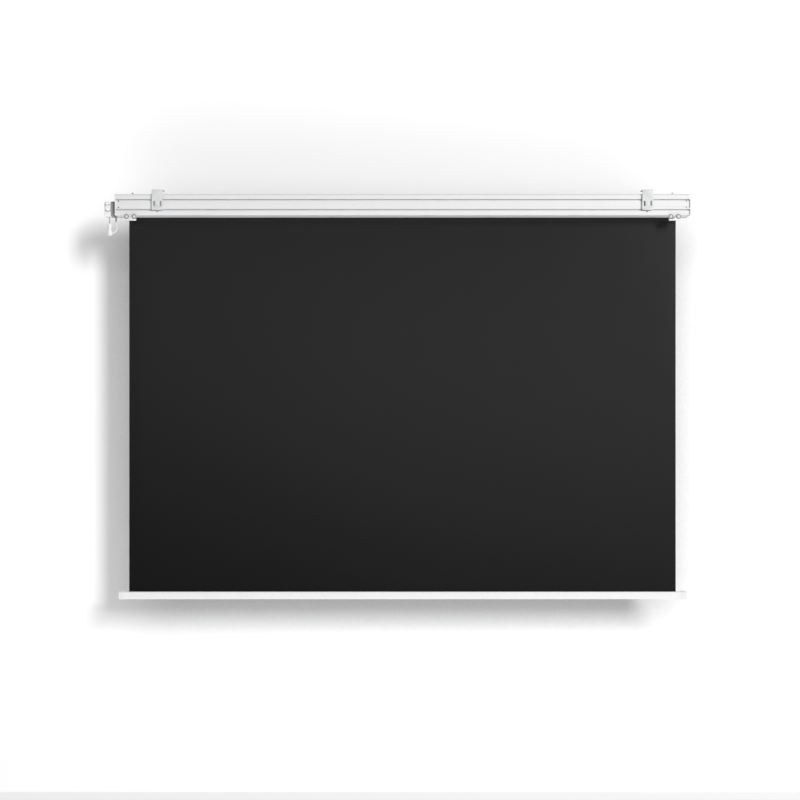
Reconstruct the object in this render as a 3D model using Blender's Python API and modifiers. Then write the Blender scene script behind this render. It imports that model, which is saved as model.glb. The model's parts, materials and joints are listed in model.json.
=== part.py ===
"""Motorized projector screen with a cased roller, two wall brackets and a weighted bottom bar.

Metres, +Z up, +X right as seen from the wall side, +Y towards the audience. The origin is on the
wall plane, midway between the two brackets, at the height of their screw slots. The fabric is let
down: every moving piece stands at its rest place.
"""

from math import acos, cos, degrees, pi, radians, sin, sqrt

import bmesh
import bpy
from mathutils import Matrix, Vector

MM = 0.001
GAP = 0.3 * MM  # clearance between pieces that touch
SEAM = 0.4 * MM  # how far a joined shape's faces stay inside its neighbour's
SIDES = {"left": -1, "right": 1}

# Case: one aluminium extrusion, described in section as seen along X
CASE_LENGTH = 2035 * MM  # over both end caps
CASE_HEIGHT = 76 * MM
CASE_DEPTH = 80 * MM
CASE_WALL = 1.5 * MM
CASE_TOP = 35.1 * MM  # above the brackets' screw slots
WALL_GAP = 8 * MM  # from the wall to the case's back
CASE_BACK_TOP_R = 6 * MM
CASE_BACK_LOW_R = 4 * MM
CASE_FRONT_TOP_R = 12 * MM
CASE_FRONT_LOW_R = 6 * MM
CAP_THICK = 5 * MM
CAP_EDGE = 3.4 * MM

# Rails in the case's back: two undercut grooves with a set-back band between them
RAIL_UPPER = 19.6 * MM  # groove centre below the case's top
RAIL_LOWER = 56 * MM
RAIL_MOUTH = 3.4 * MM
RAIL_UNDERCUT = 3 * MM
RAIL_ROOM = 3 * MM  # free depth behind the lips
BAND_SETBACK = 1 * MM
FLUTE_HEIGHT = 11 * MM  # shallow flute along the band's lower half
FLUTE_DEPTH = 0.8 * MM
FLUTE_RISE = 0.5 * MM  # above the lower groove

# Screw ports in the case's corners
PORT_BORE_R = 1.6 * MM
PORT_WALL = 2.4 * MM
PORT_INSET = 3 * MM  # port centre from the inner walls

# Slot under the case, either side of the fabric
SLOT_BACK = 7 * MM
SLOT_FRONT = 5 * MM

# Fabric and roller
FABRIC_MARGIN = 40 * MM  # from the case's end to the fabric's edge
FABRIC_DROP = 1338.2 * MM  # shown below the case
FABRIC_THICK = 0.4 * MM
FABRIC_SETBACK = 12 * MM  # fabric plane behind the case's front
FABRIC_TUCK = 3 * MM  # into the bottom bar
TUBE_R = 22 * MM
TUBE_WALL = 1.5 * MM
TUBE_OVERHANG = 8 * MM  # tube past the fabric's edge
KEYWAY_WIDTH = 4.5 * MM
KEYWAY_DEPTH = 2.8 * MM
WRAPS = 2  # turns of fabric that stay on the tube
ROLL_CLEAR = 1.2 * MM  # under the full roll

# Motor and the roller's two ends
MOTOR_R = 16.5 * MM
MOTOR_REACH = 530 * MM  # from the motor head's inner face
SHAFT_SIDE = 10 * MM
SHAFT_LENGTH = 30 * MM
WHEEL_WIDTH = 18 * MM
LIMIT_RING_WIDTH = 20 * MM
PIN_R = 5 * MM
PLUG_WIDTH = 22 * MM
TUBE_COLLAR = 2.2 * MM  # rim of the plug and the limit ring outside the tube's ends
BEARING_WALL = 4 * MM
BEARING_WIDTH = 5 * MM
ANGLE_THICK = 3 * MM  # the steel angles inside the case
ANGLE_TAB = 22 * MM
ANGLE_CUT_BACK = 10 * MM  # angle plate's edge from the case's back
ANGLE_CUT_FRONT = 4 * MM
ANGLE_CUT_TOP = 13 * MM
ANGLE_CUT_LOW = 4 * MM
ANGLE_CORNER_R = 5 * MM

# Motor head outside the left end
FLANGE_LENGTH = 16.3 * MM
FLANGE_HEIGHT = 53.8 * MM
FLANGE_DEPTH = 50 * MM
FLANGE_DROP = 2.9 * MM  # flange centre below the roller's axis
FLANGE_CORNER_R = 10 * MM
FLANGE_GROOVE = 5 * MM  # neck between the flange's two rims
FLANGE_GROOVE_DEPTH = 3.5 * MM
FLANGE_RIM = 1.2 * MM  # thin rim beside the case
HEAD_LENGTH = 23 * MM
HEAD_HEIGHT = 53.3 * MM
HEAD_DEPTH = 46 * MM
HEAD_DROP = 3.6 * MM
HEAD_CORNER_R = 8 * MM
HEAD_EDGE = 2 * MM
PANEL_WIDTH = 21 * MM  # raised panel that holds the limit adjusters
PANEL_HEIGHT = 34 * MM
PANEL_RISE = 5.4 * MM
PANEL_TOP = 0.8 * MM  # below the head's top
PANEL_CORNER_R = 6 * MM
PANEL_EDGE = 2.2 * MM
ADJUSTER_R = 2.3 * MM
ADJUSTER_LENGTH = 7 * MM
ADJUSTER_PITCH = 11 * MM
ADJUSTER_SOCKET_R = 1.4 * MM
ADJUSTER_DROP = 12 * MM  # below the panel's top
ADJUSTER_SINK = 0.8 * MM  # behind the panel's face

# Leads below the head
GLAND_R = 3.2 * MM
GLAND_LENGTH = 17 * MM
GLAND_INSET = 3 * MM  # beyond the case's end
LEAD_D = 4.7 * MM
HEAD_LEAD_D = 2.6 * MM
HEAD_LEAD_LENGTH = 21.4 * MM
CONNECTOR_INSET = 9.2 * MM  # connector's axis from the motor head's inner face
CONNECTOR_R = 7.3 * MM
COLLAR_R = 8.3 * MM
COLLAR_LENGTH = 10.7 * MM
SOCKET_LENGTH = 20.5 * MM
PLUG_LENGTH = 21.9 * MM
BOOT_R = 3.2 * MM  # side boot that takes the loop lead
INNER_LEAD_DROP = 6 * MM  # inner lead's centre below the case's top wall
INNER_LEAD_SET = 8 * MM  # behind the roller's axis

# The loop lead's route from the gland's mouth: to the right and down, in mm
LOOP_ROUTE = (
    (0.0, 0.0),
    (0.3, -4.5),
    (1.2, -9.0),
    (2.3, -13.4),
    (2.9, -18.0),
    (2.6, -22.6),
    (1.5, -27.0),
    (-0.6, -31.0),
    (-3.6, -34.4),
    (-7.4, -37.1),
    (-11.8, -39.2),
)

# Control box inside the case
BOX_LENGTH = 130 * MM
BOX_DEPTH = 42 * MM
BOX_HEIGHT = 13.5 * MM
BOX_INSET = 87.5 * MM  # from the case's end
BOX_DROP = 2.6 * MM  # below the case's top wall
BOX_EDGE = 1.5 * MM
INNER_LEAD_DIP = 2 * MM  # from the case's end to the box

# Wall brackets
BRACKET_INSET = 152 * MM  # bracket centre from the case's end
BRACKET_WIDTH = 39 * MM
BRACKET_THICK = 2 * MM
BRACKET_RISE = 14.3 * MM  # above the case's top
BRACKET_FOOT = 2 * MM  # below the lower groove's centre
BRACKET_BEND_R = 3 * MM
CEILING_REACH = 47 * MM
SLOT_LENGTH = 18.9 * MM
SLOT_WIDTH = 6.5 * MM
SLOT_PITCH = 23.3 * MM
CEILING_SLOT_LENGTH = 16 * MM
CEILING_SLOT_PITCH = 20 * MM
HOOK_THICK = 1.6 * MM
HOOK_TIP = 2.2 * MM
HOOK_LIFT = 2.2 * MM
LIP_WIDTH = 12 * MM
LIP_THICK = 2 * MM
CEILING_SLOT_SET = 28 * MM  # slot centre from the wall

# Clamp jaw and its screw
JAW_WIDTH = 28 * MM
JAW_HEIGHT = 12 * MM
JAW_NOSE = 1.2 * MM
JAW_HOOK = 1.5 * MM
CLAMP_SHANK_R = 1.5 * MM
CLAMP_HEAD_R = 2.5 * MM
CLAMP_HEAD = 6.4 * MM
CLAMP_REACH = 10 * MM

# Lower clips behind the case's lower edge
CLIP_INSET = 56.7 * MM  # clip centre from the case's end
CLIP_THICK = 3.2 * MM
CLIP_BOSS_R = 8.8 * MM
CLIP_BOSS_PITCH = 27 * MM
CLIP_BOSS_DROP = 3.2 * MM  # boss centre below the case's bottom
CLIP_WEB = 14 * MM
CLIP_WEB_RISE = 7.6 * MM  # above the foot, between the bosses
CLIP_FOOT_WIDTH = 41 * MM
CLIP_FOOT_HEIGHT = 6.2 * MM
CLIP_FOOT_DROP = 12.6 * MM
CLIP_FOOT_PROUD = 3 * MM  # foot past the clip's plate, front and back
CLIP_ARM_WIDTH = 18 * MM  # strap under the case that hooks into its slot
CLIP_ARM_THICK = 3 * MM
CLIP_HOOK = 2 * MM
CLIP_HOOK_RISE = 5 * MM  # above the case's underside
CLIP_POST_R = 2.8 * MM
CLIP_POST_REACH = 12 * MM
CLIP_SCREW_R = 5.3 * MM
CLIP_WASHER_R = 8.2 * MM
CLIP_WASHER = 0.9 * MM

# Bottom bar
BAR_SHORT = 1.5 * MM  # each end of the bar inside the case's end
BAR_HEIGHT = 26.8 * MM
BAR_DEPTH = 15 * MM
BAR_CORNER_R = 4 * MM
BAR_GROOVES = (7.5 * MM, 14.6 * MM)
BAR_GROOVE_DEPTH = 0.5 * MM
KEEPER_R = 3.4 * MM
KEEPER_DROP = 7.4 * MM
KEEPER_SLOT = 1.8 * MM
KEEPER_CLEAR = 0.8 * MM
KEEPER_SHORT = 22 * MM  # keeper and weight end before the bar does
ROD_R = 5.2 * MM
ROD_RISE = 7.4 * MM  # rod's centre above the bar's bottom
ROD_CLEAR = 0.5 * MM
BAR_CAP_SLEEVE = 15.7 * MM
BAR_CAP_PLATE = 5 * MM
BAR_CAP_WALL = 0.9 * MM
BUMP_R = 4.4 * MM
BUMP_RISE = 2.1 * MM
BUMP_INSET = 12.5 * MM  # from the bar's end

# Screws
REAR_SCREW_INSET = 14.5 * MM  # from the case's end
REAR_SCREW_PITCH = 22 * MM
REAR_SCREW_DROP = 25.2 * MM  # upper one below the case's top
TOP_SCREW_INSET = 61.5 * MM
TOP_SCREW_SETBACK = 12 * MM
SMALL_HEAD_R = 2.4 * MM
SMALL_SHANK_R = 1.3 * MM
SMALL_HEAD = 1.5 * MM
SMALL_REACH = 7 * MM
COUNTERBORE = 1.8 * MM
PAN_HEAD_R = 3.6 * MM
PAN_HEIGHT = 6.6 * MM
PAN_SHANK_R = 1.6 * MM
PAN_REACH = 6 * MM

# Values worked out from the sizes above
CASE_BACK = WALL_GAP
CASE_FRONT = CASE_BACK + CASE_DEPTH
CASE_BOTTOM = CASE_TOP - CASE_HEIGHT
CASE_END = CASE_LENGTH / 2
SHELL_END = CASE_END - CAP_THICK - GAP
BAND_FACE = CASE_BACK + BAND_SETBACK
UPPER_RAIL_Z = CASE_TOP - RAIL_UPPER
LOWER_RAIL_Z = CASE_TOP - RAIL_LOWER
FLUTE_LOW = LOWER_RAIL_Z + RAIL_MOUTH / 2 + FLUTE_RISE
BAND_INNER = BAND_FACE + FLUTE_DEPTH + CASE_WALL
RAIL_INNER = CASE_BACK + CASE_WALL + RAIL_ROOM
FABRIC_Y = CASE_FRONT - FABRIC_SETBACK
FABRIC_END = CASE_END - FABRIC_MARGIN
TUBE_END = FABRIC_END + TUBE_OVERHANG
TUBE_BORE_R = TUBE_R - TUBE_WALL
WOUND_R = TUBE_R + GAP + WRAPS * FABRIC_THICK
WOUND_LENGTH = FABRIC_DROP + 2 * pi * TUBE_R * WRAPS
FULL_ROLL_R = sqrt(TUBE_R**2 + WOUND_LENGTH * FABRIC_THICK / pi)
ROLLER_Y = FABRIC_Y - FABRIC_THICK / 2 - GAP - WOUND_R
ROLLER_Z = CASE_BOTTOM + CASE_WALL + ROLL_CLEAR + FULL_ROLL_R
FLANGE_OUTER = CASE_END + GAP + FLANGE_LENGTH
HEAD_INNER = FLANGE_OUTER + GAP
HEAD_OUTER = HEAD_INNER + HEAD_LENGTH
HEAD_Z = ROLLER_Z - HEAD_DROP
HEAD_TOP = HEAD_Z + HEAD_HEIGHT / 2
HEAD_BOTTOM = HEAD_Z - HEAD_HEIGHT / 2
HEAD_BACK = ROLLER_Y - HEAD_DEPTH / 2
FLANGE_Z = ROLLER_Z - FLANGE_DROP
FLANGE_BOTTOM = FLANGE_Z - FLANGE_HEIGHT / 2
PANEL_FACE = HEAD_BACK - PANEL_RISE
PANEL_Z = HEAD_TOP - PANEL_TOP - PANEL_HEIGHT / 2
CONNECTOR_X = -(HEAD_INNER + CONNECTOR_INSET)
CONNECTOR_TOP = HEAD_BOTTOM - 2 * GAP - HEAD_LEAD_LENGTH
GLAND_MOUTH = FLANGE_BOTTOM - GAP - GLAND_LENGTH
MOTOR_END = HEAD_INNER - GAP - MOTOR_REACH
BRACKET_X = CASE_END - BRACKET_INSET
BRACKET_TOP = CASE_TOP + BRACKET_RISE
BRACKET_BOTTOM = LOWER_RAIL_Z - BRACKET_FOOT
CLAMP_ROOM = WALL_GAP - BRACKET_THICK - 2 * GAP  # between plate and case
CLAMP_Y = BRACKET_THICK + GAP + CLAMP_ROOM / 2
CLIP_X = CASE_END - CLIP_INSET
CLIP_FACE = CASE_BACK - GAP - CLIP_THICK
CLIP_BOSS_Z = CASE_BOTTOM - CLIP_BOSS_DROP
CLIP_FOOT_TOP = CASE_BOTTOM - CLIP_FOOT_DROP
BAR_TOP = CASE_BOTTOM - FABRIC_DROP
BAR_END = CASE_END - BAR_SHORT
EXTRUSION_END = BAR_END - BAR_CAP_PLATE - GAP


def clear_scene():
    """Empties the scene and makes one collection for the screen and one for the cutters."""
    for old in list(bpy.data.objects):
        bpy.data.objects.remove(old, do_unlink=True)
    for name in ("projector_screen", "cutters"):
        bpy.context.scene.collection.children.link(bpy.data.collections.new(name))


def srgb(red, green, blue):
    """A display colour of 0 to 255 as the linear colour that a shader takes."""
    steps = [value / 255 for value in (red, green, blue)]
    return (*[s / 12.92 if s < 0.04045 else ((s + 0.055) / 1.055) ** 2.4 for s in steps], 1.0)


def finish(name, colour, roughness, metallic=0.0):
    """A Principled material."""
    material = bpy.data.materials.new(name)
    material.use_nodes = True
    shader = material.node_tree.nodes["Principled BSDF"]
    shader.inputs["Base Color"].default_value = srgb(*colour)
    shader.inputs["Roughness"].default_value = roughness
    shader.inputs["Metallic"].default_value = metallic
    return material


def make_finishes():
    """Every material of the screen, by a short name."""
    return {
        "white_coat": finish("white_powder_coat", (240, 240, 240), 0.42),
        "white_plastic": finish("white_plastic", (236, 236, 234), 0.45),
        "grey_coat": finish("grey_white_coat", (218, 220, 219), 0.5),
        "dark_plastic": finish("grey_plastic", (150, 150, 152), 0.5),
        "zinc": finish("zinc_plate", (190, 192, 195), 0.35, 1.0),
        "steel": finish("bright_steel", (170, 172, 175), 0.3, 1.0),
        "aluminium": finish("mill_aluminium", (200, 202, 204), 0.35, 1.0),
        "fabric": finish("black_backing", (40, 41, 42), 0.8),
        "cable": finish("white_cable", (234, 234, 232), 0.5),
        "grey_cable": finish("grey_cable", (150, 151, 152), 0.5),
    }


def link(thing, collection):
    bpy.data.collections[collection].objects.link(thing)
    return thing


def object_of(mesh, name, at=(0, 0, 0), turn=(0, 0, 0)):
    """An object in the screen's collection that shows a mesh."""
    piece = link(bpy.data.objects.new(name, mesh), "projector_screen")
    piece.location = at
    piece.rotation_euler = turn
    return piece


def made_mesh(curve_object):
    """Turns a curve object into a mesh object whose loose caps are welded."""
    evaluated = curve_object.evaluated_get(bpy.context.evaluated_depsgraph_get())
    mesh = bpy.data.meshes.new_from_object(evaluated)
    work = bmesh.new()
    work.from_mesh(mesh)
    bmesh.ops.remove_doubles(work, verts=work.verts, dist=0.002 * MM)
    work.to_mesh(mesh)
    work.free()
    name = curve_object.name
    place = curve_object.matrix_world.copy()
    bpy.data.objects.remove(curve_object, do_unlink=True)
    piece = object_of(mesh, name)
    piece.matrix_world = place
    return piece


# Turns that lay an outline's own X, Y and thickness along the world's axes
ALONG_X = (radians(90), 0, radians(90))  # outline in Y and Z
ALONG_Y = (radians(90), 0, 0)  # outline in X and Z
ALONG_Z = (0, 0, 0)  # outline in X and Y

# Turns that point a screw's head, or a rod's end, to the wall, up and down
HEAD_BACK_TURN = (radians(90), 0, 0)
HEAD_UP_TURN = (0, 0, 0)
HEAD_DOWN_TURN = (radians(180), 0, 0)


def extrusion(name, outlines, length, at=(0, 0, 0), turn=ALONG_X):
    """A flat outline with its holes, given thickness about the point at."""
    curve = bpy.data.curves.new(name, "CURVE")
    curve.dimensions = "2D"
    curve.fill_mode = "BOTH"
    curve.extrude = length / 2
    for outline in outlines:
        spline = curve.splines.new("POLY")
        spline.points.add(len(outline) - 1)
        for point, (across, up) in zip(spline.points, outline):
            point.co = (across, up, 0, 1)
        spline.use_cyclic_u = True
    piece = link(bpy.data.objects.new(name, curve), "projector_screen")
    piece.location = at
    piece.rotation_euler = turn
    bpy.context.view_layer.update()
    return made_mesh(piece)


def block(name, low, high):
    """A box between two corners, with its origin at its centre."""
    mesh = bpy.data.meshes.new(name)
    work = bmesh.new()
    size = Vector(high) - Vector(low)
    bmesh.ops.create_cube(work, size=1, matrix=Matrix.Diagonal((*size, 1)))
    work.to_mesh(mesh)
    work.free()
    return object_of(mesh, name, at=(Vector(low) + Vector(high)) / 2)


def rod(name, radius, length, at, turn=(0, radians(90), 0), sides=24):
    """A cylinder about the point at. The plain turn lays it along X."""
    mesh = bpy.data.meshes.new(name)
    work = bmesh.new()
    bmesh.ops.create_cone(
        work, cap_ends=True, segments=sides, radius1=radius, radius2=radius, depth=length
    )
    work.to_mesh(mesh)
    work.free()
    return object_of(mesh, name, at, turn)


def turned(name, profile, at, turn=(0, 0, 0), sides=16):
    """A profile of radius and height, top to bottom, turned about its own Z."""
    mesh = bpy.data.meshes.new(name)
    edges = [(i, i + 1) for i in range(len(profile) - 1)]
    mesh.from_pydata([(radius, 0, height) for radius, height in profile], edges, [])
    piece = object_of(mesh, name, at, turn)
    screw = piece.modifiers.new("turn", "SCREW")
    screw.axis = "Z"
    screw.steps = sides
    screw.render_steps = sides
    screw.use_merge_vertices = True
    screw.merge_threshold = 0.00001
    return piece


def tube(name, points, diameter, resolution=2):
    """A lead along points, as a round tube with filled ends."""
    curve = bpy.data.curves.new(name, "CURVE")
    curve.dimensions = "3D"
    curve.bevel_depth = diameter / 2
    curve.bevel_resolution = resolution
    curve.use_fill_caps = True
    spline = curve.splines.new("POLY")
    spline.points.add(len(points) - 1)
    for place, point in zip(spline.points, points):
        place.co = (*point, 1)
    return link(bpy.data.objects.new(name, curve), "projector_screen")


def as_cutter(tool):
    """Moves a helper to the cutters' collection, where it doesn't render."""
    bpy.data.collections["projector_screen"].objects.unlink(tool)
    link(tool, "cutters")
    tool.hide_render = True
    tool.display_type = "WIRE"
    return tool


def combine(piece, tool, operation):
    """Cuts a tool out of a piece, or joins it on."""
    change = piece.modifiers.new(operation.lower(), "BOOLEAN")
    change.operation = operation
    change.object = as_cutter(tool)


def cut(piece, *tools):
    for tool in tools:
        combine(piece, tool, "DIFFERENCE")


def join(piece, *tools):
    for tool in tools:
        combine(piece, tool, "UNION")


def round_edges(piece, width, pick, segments=3):
    """Rounds the edges whose two ends pass the test pick, in the piece's own axes."""
    work = bmesh.new()
    work.from_mesh(piece.data)
    edges = [e for e in work.edges if all(pick(v.co) for v in e.verts) and len(e.link_faces) == 2]
    edges = [e for e in edges if e.calc_face_angle() > radians(30)]
    bmesh.ops.bevel(work, geom=edges, offset=width, segments=segments, affect="EDGES", profile=0.5)
    work.to_mesh(piece.data)
    work.free()


def dress(piece, material, smooth=True):
    """Gives a piece its finish, with smooth round faces and sharp edges."""
    if piece.type == "MESH":
        piece.data.materials.append(material)
        if smooth:
            piece.data.shade_smooth()
            piece.data.set_sharp_from_angle(angle=radians(32))
    else:
        piece.data.materials.append(material)
    return piece


def axis_at(name, place):
    """An empty on a joint's axis, which carries the pieces that move with it."""
    empty = link(bpy.data.objects.new(name, None), "projector_screen")
    empty.location = place
    return empty


def hang_on(empty, *pieces):
    """Parents pieces, and what cuts or joins them, to an empty without moving them."""
    for piece in pieces:
        tools = [m.object for m in piece.modifiers if m.type == "BOOLEAN"]
        for thing in [piece, *tools]:
            thing.parent = empty
            thing.matrix_parent_inverse = Matrix.Translation(-empty.location)


def arc(centre, radius, start, end, steps=4):
    """Points on an arc, with its angles in degrees."""
    turns = [radians(start + (end - start) * i / steps) for i in range(steps + 1)]
    return [(centre[0] + radius * cos(t), centre[1] + radius * sin(t)) for t in turns]


def circle(radius, steps, centre=(0, 0)):
    return arc(centre, radius, 0, 360 - 360 / steps, steps - 1)


def round_box(width, height, radius, centre=(0, 0), steps=4):
    """A rectangle with round corners, counterclockwise."""
    right = width / 2 - radius
    top = height / 2 - radius
    corners = [(right, top, 0), (-right, top, 90), (-right, -top, 180), (right, -top, 270)]
    points = []
    for across, up, start in corners:
        points += arc((centre[0] + across, centre[1] + up), radius, start, start + 90, steps)
    return points


def slotted(width, length, steps=6):
    """A slot with round ends whose length runs along the outline's second axis."""
    radius = width / 2
    reach = length / 2 - radius
    return arc((0, reach), radius, 0, 180, steps) + arc((0, -reach), radius, 180, 360, steps)


def keyed_circle(radius, notch_width, notch_radius, steps=28):
    """A circle with a square notch at its top, down to notch_radius."""
    half = degrees(acos(notch_width / 2 / radius))
    points = arc((0, 0), radius, 180 - half, 360 + half, steps)
    return points + [(notch_width / 2, notch_radius), (-notch_width / 2, notch_radius)]


def case_outer():
    """The case's outside from the slot's back edge round to its front edge, clockwise."""
    back_low = (CASE_BACK + CASE_BACK_LOW_R, CASE_BOTTOM + CASE_BACK_LOW_R)
    back_top = (CASE_BACK + CASE_BACK_TOP_R, CASE_TOP - CASE_BACK_TOP_R)
    front_top = (CASE_FRONT - CASE_FRONT_TOP_R, CASE_TOP - CASE_FRONT_TOP_R)
    front_low = (CASE_FRONT - CASE_FRONT_LOW_R, CASE_BOTTOM + CASE_FRONT_LOW_R)
    rise = arc(back_low, CASE_BACK_LOW_R, 270, 180)
    top = arc(back_top, CASE_BACK_TOP_R, 180, 90, 6) + arc(front_top, CASE_FRONT_TOP_R, 90, 0, 8)
    return rise, top, arc(front_low, CASE_FRONT_LOW_R, 0, -90, 6)


def band_flute(steps=8):
    """The shallow flute in the band, from its bottom edge up: deepest half-way."""
    points = []
    for index in range(steps + 1):
        part = index / steps
        depth = FLUTE_DEPTH * (1 - (2 * part - 1) ** 2)
        points.append((BAND_FACE + depth, FLUTE_LOW + FLUTE_HEIGHT * part))
    return points


def lower_groove():
    """The lower rail's groove from its bottom edge up, undercut downwards."""
    low = LOWER_RAIL_Z - RAIL_MOUTH / 2
    high = LOWER_RAIL_Z + RAIL_MOUTH / 2
    lip = CASE_BACK + CASE_WALL
    foot = low - RAIL_UNDERCUT
    mouth = [(CASE_BACK, low), (lip, low), (lip, foot)]
    return mouth + [(RAIL_INNER, foot), (RAIL_INNER, high), (BAND_FACE, high)]


def upper_groove():
    """The upper rail's groove from its bottom edge up, undercut upwards."""
    low = UPPER_RAIL_Z - RAIL_MOUTH / 2
    high = UPPER_RAIL_Z + RAIL_MOUTH / 2
    lip = CASE_BACK + CASE_WALL
    head = high + RAIL_UNDERCUT
    mouth = [(lip, head), (lip, high), (CASE_BACK, high)]
    return [(BAND_FACE, low), (RAIL_INNER, low), (RAIL_INNER, head), *mouth]


def port_arc(centre, start, end):
    """The outside of a screw port that stands out of an inner corner."""
    return arc(centre, PORT_BORE_R + PORT_WALL, start, end, 8)


def port_centres():
    """The screw ports at the front top, back top and back low corners."""
    inner = CASE_WALL + PORT_INSET
    front_top = (CASE_FRONT - inner - CASE_FRONT_TOP_R / 4, CASE_TOP - inner - CASE_FRONT_TOP_R / 4)
    back_top = (CASE_BACK + inner, CASE_TOP - inner)
    back_low = (CASE_BACK + inner, CASE_BOTTOM + inner)
    return front_top, back_top, back_low


def case_inner():
    """The case's inside from the slot's front edge round to its back edge, counterclockwise."""
    top = CASE_TOP - CASE_WALL
    low = CASE_BOTTOM + CASE_WALL
    front = CASE_FRONT - CASE_WALL
    back = CASE_BACK + CASE_WALL
    rail = RAIL_INNER + CASE_WALL
    front_top, back_top, back_low = port_centres()
    swing = degrees(acos(PORT_INSET / (PORT_BORE_R + PORT_WALL)))
    front_low = (CASE_FRONT - CASE_FRONT_LOW_R, CASE_BOTTOM + CASE_FRONT_LOW_R)
    points = arc(front_low, CASE_FRONT_LOW_R - CASE_WALL, -90, 0, 6)
    points += [(front, CASE_TOP - CASE_FRONT_TOP_R)]
    points += port_arc(front_top, 315, 135)
    points += [(CASE_FRONT - CASE_FRONT_TOP_R, top)]
    points += port_arc(back_top, 90 - swing, -180 + swing)
    near = RAIL_MOUTH / 2 + CASE_WALL
    far = near + RAIL_UNDERCUT
    points += [(back, UPPER_RAIL_Z + far), (rail, UPPER_RAIL_Z + far)]
    points += [(rail, UPPER_RAIL_Z - near), (BAND_INNER, UPPER_RAIL_Z - near)]
    points += [(BAND_INNER, LOWER_RAIL_Z + near), (rail, LOWER_RAIL_Z + near)]
    points += [(rail, LOWER_RAIL_Z - far), (back, LOWER_RAIL_Z - far)]
    points += port_arc(back_low, 180 - swing, -90 + swing)
    return points + [(FABRIC_Y - SLOT_BACK, low)]


def make_case(finishes):
    """The extruded case with its rails, screw ports, slot and screw holes."""
    rise, top, front = case_outer()
    back = [*lower_groove(), *band_flute(), *upper_groove()]
    outline = [(FABRIC_Y - SLOT_BACK, CASE_BOTTOM), *rise, *back, *top, *front]
    outline += [(FABRIC_Y + SLOT_FRONT, CASE_BOTTOM), (FABRIC_Y + SLOT_FRONT, CASE_BOTTOM + CASE_WALL)]
    outline += case_inner()
    bores = [circle(PORT_BORE_R, 12, centre) for centre in port_centres()]
    shell = extrusion("case_shell", [outline, *bores], 2 * SHELL_END)
    for side in SIDES.values():
        for index in range(2):
            place = rear_screw_place(side, index)
            hole = rod("rear_screw_hole", SMALL_SHANK_R + GAP, 4 * CASE_WALL, place, HEAD_BACK_TURN, 10)
            cut(shell, hole)
        place = top_screw_place(side)
        cut(shell, rod("top_screw_hole", PAN_SHANK_R + GAP, 4 * CASE_WALL, place, ALONG_Z, 10))
    dress(shell, finishes["white_coat"])


def rear_screw_place(side, index):
    """Where a rear screw's head seats on the band between the rails: the lower one in the flute."""
    height = CASE_TOP - REAR_SCREW_DROP - index * REAR_SCREW_PITCH
    seat = BAND_FACE - GAP + index * FLUTE_DEPTH / 2
    return (side * (CASE_END - REAR_SCREW_INSET), seat, height)


def top_screw_place(side):
    return (side * (CASE_END - TOP_SCREW_INSET), CASE_BACK + TOP_SCREW_SETBACK, CASE_TOP + GAP)


def screw(name, head_r, head, shank_r, reach, at, turn, finish_used, sides=12):
    """A pan-head screw whose seat is at the origin and whose head points along its own +Z."""
    profile = [
        (0, head),
        (head_r * 0.55, head * 0.94),
        (head_r * 0.9, head * 0.62),
        (head_r, head * 0.2),
        (head_r, 0),
        (shank_r, 0),
        (shank_r, -reach + shank_r),
        (0, -reach),
    ]
    return dress(turned(name, profile, at, turn, sides), finish_used)


def small_screw(name, seat, turn, finishes):
    """One of the small screws that hold the caps and the steel angles."""
    return screw(name, SMALL_HEAD_R, SMALL_HEAD, SMALL_SHANK_R, SMALL_REACH, seat, turn, finishes["zinc"])


def head_out_turn(side):
    """Head towards the case's end on that side."""
    return (0, side * radians(90), 0)


def case_end_outline():
    """The case's outline with its slot closed, which both end caps follow."""
    rise, top, front = case_outer()
    return rise + top + front


def make_end_caps(finishes):
    """Flat end caps with rounded edges, the left one bored for the motor."""
    for word, side in SIDES.items():
        centre = (side * (CASE_END - CAP_THICK / 2), 0, 0)
        cap = extrusion(f"end_cap_{word}", [case_end_outline()], CAP_THICK, centre)
        outside = CAP_THICK / 2 * 0.9
        round_edges(cap, CAP_EDGE, lambda point: point.z * side > outside)
        for port, (across, up) in enumerate(port_centres()):
            mouth = (side * CASE_END, across, up)
            cut(cap, rod("end_screw_bore", SMALL_SHANK_R + GAP, 4 * CAP_THICK, mouth, sides=10))
            cut(cap, rod("end_screw_recess", SMALL_HEAD_R + GAP, 2 * COUNTERBORE, mouth, sides=12))
            seat = (side * (CASE_END - COUNTERBORE + GAP), across, up)
            small_screw(f"end_screw_{word}_{port + 1}", seat, head_out_turn(side), finishes)
        if word == "left":
            middle = (centre[0], ROLLER_Y, ROLLER_Z)
            cut(cap, rod("motor_bore", MOTOR_R + GAP, 4 * CAP_THICK, middle, sides=32))
        dress(cap, finishes["white_plastic"])


def make_case_screws(finishes):
    """Screws in the case's back and top."""
    for word, side in SIDES.items():
        for index, level in enumerate(("upper", "lower")):
            name = f"rear_screw_{word}_{level}"
            small_screw(name, rear_screw_place(side, index), HEAD_BACK_TURN, finishes)
        place = top_screw_place(side)
        name = f"top_screw_{word}"
        screw(name, PAN_HEAD_R, PAN_HEIGHT, PAN_SHANK_R, PAN_REACH, place, HEAD_UP_TURN, finishes["zinc"])


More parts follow.
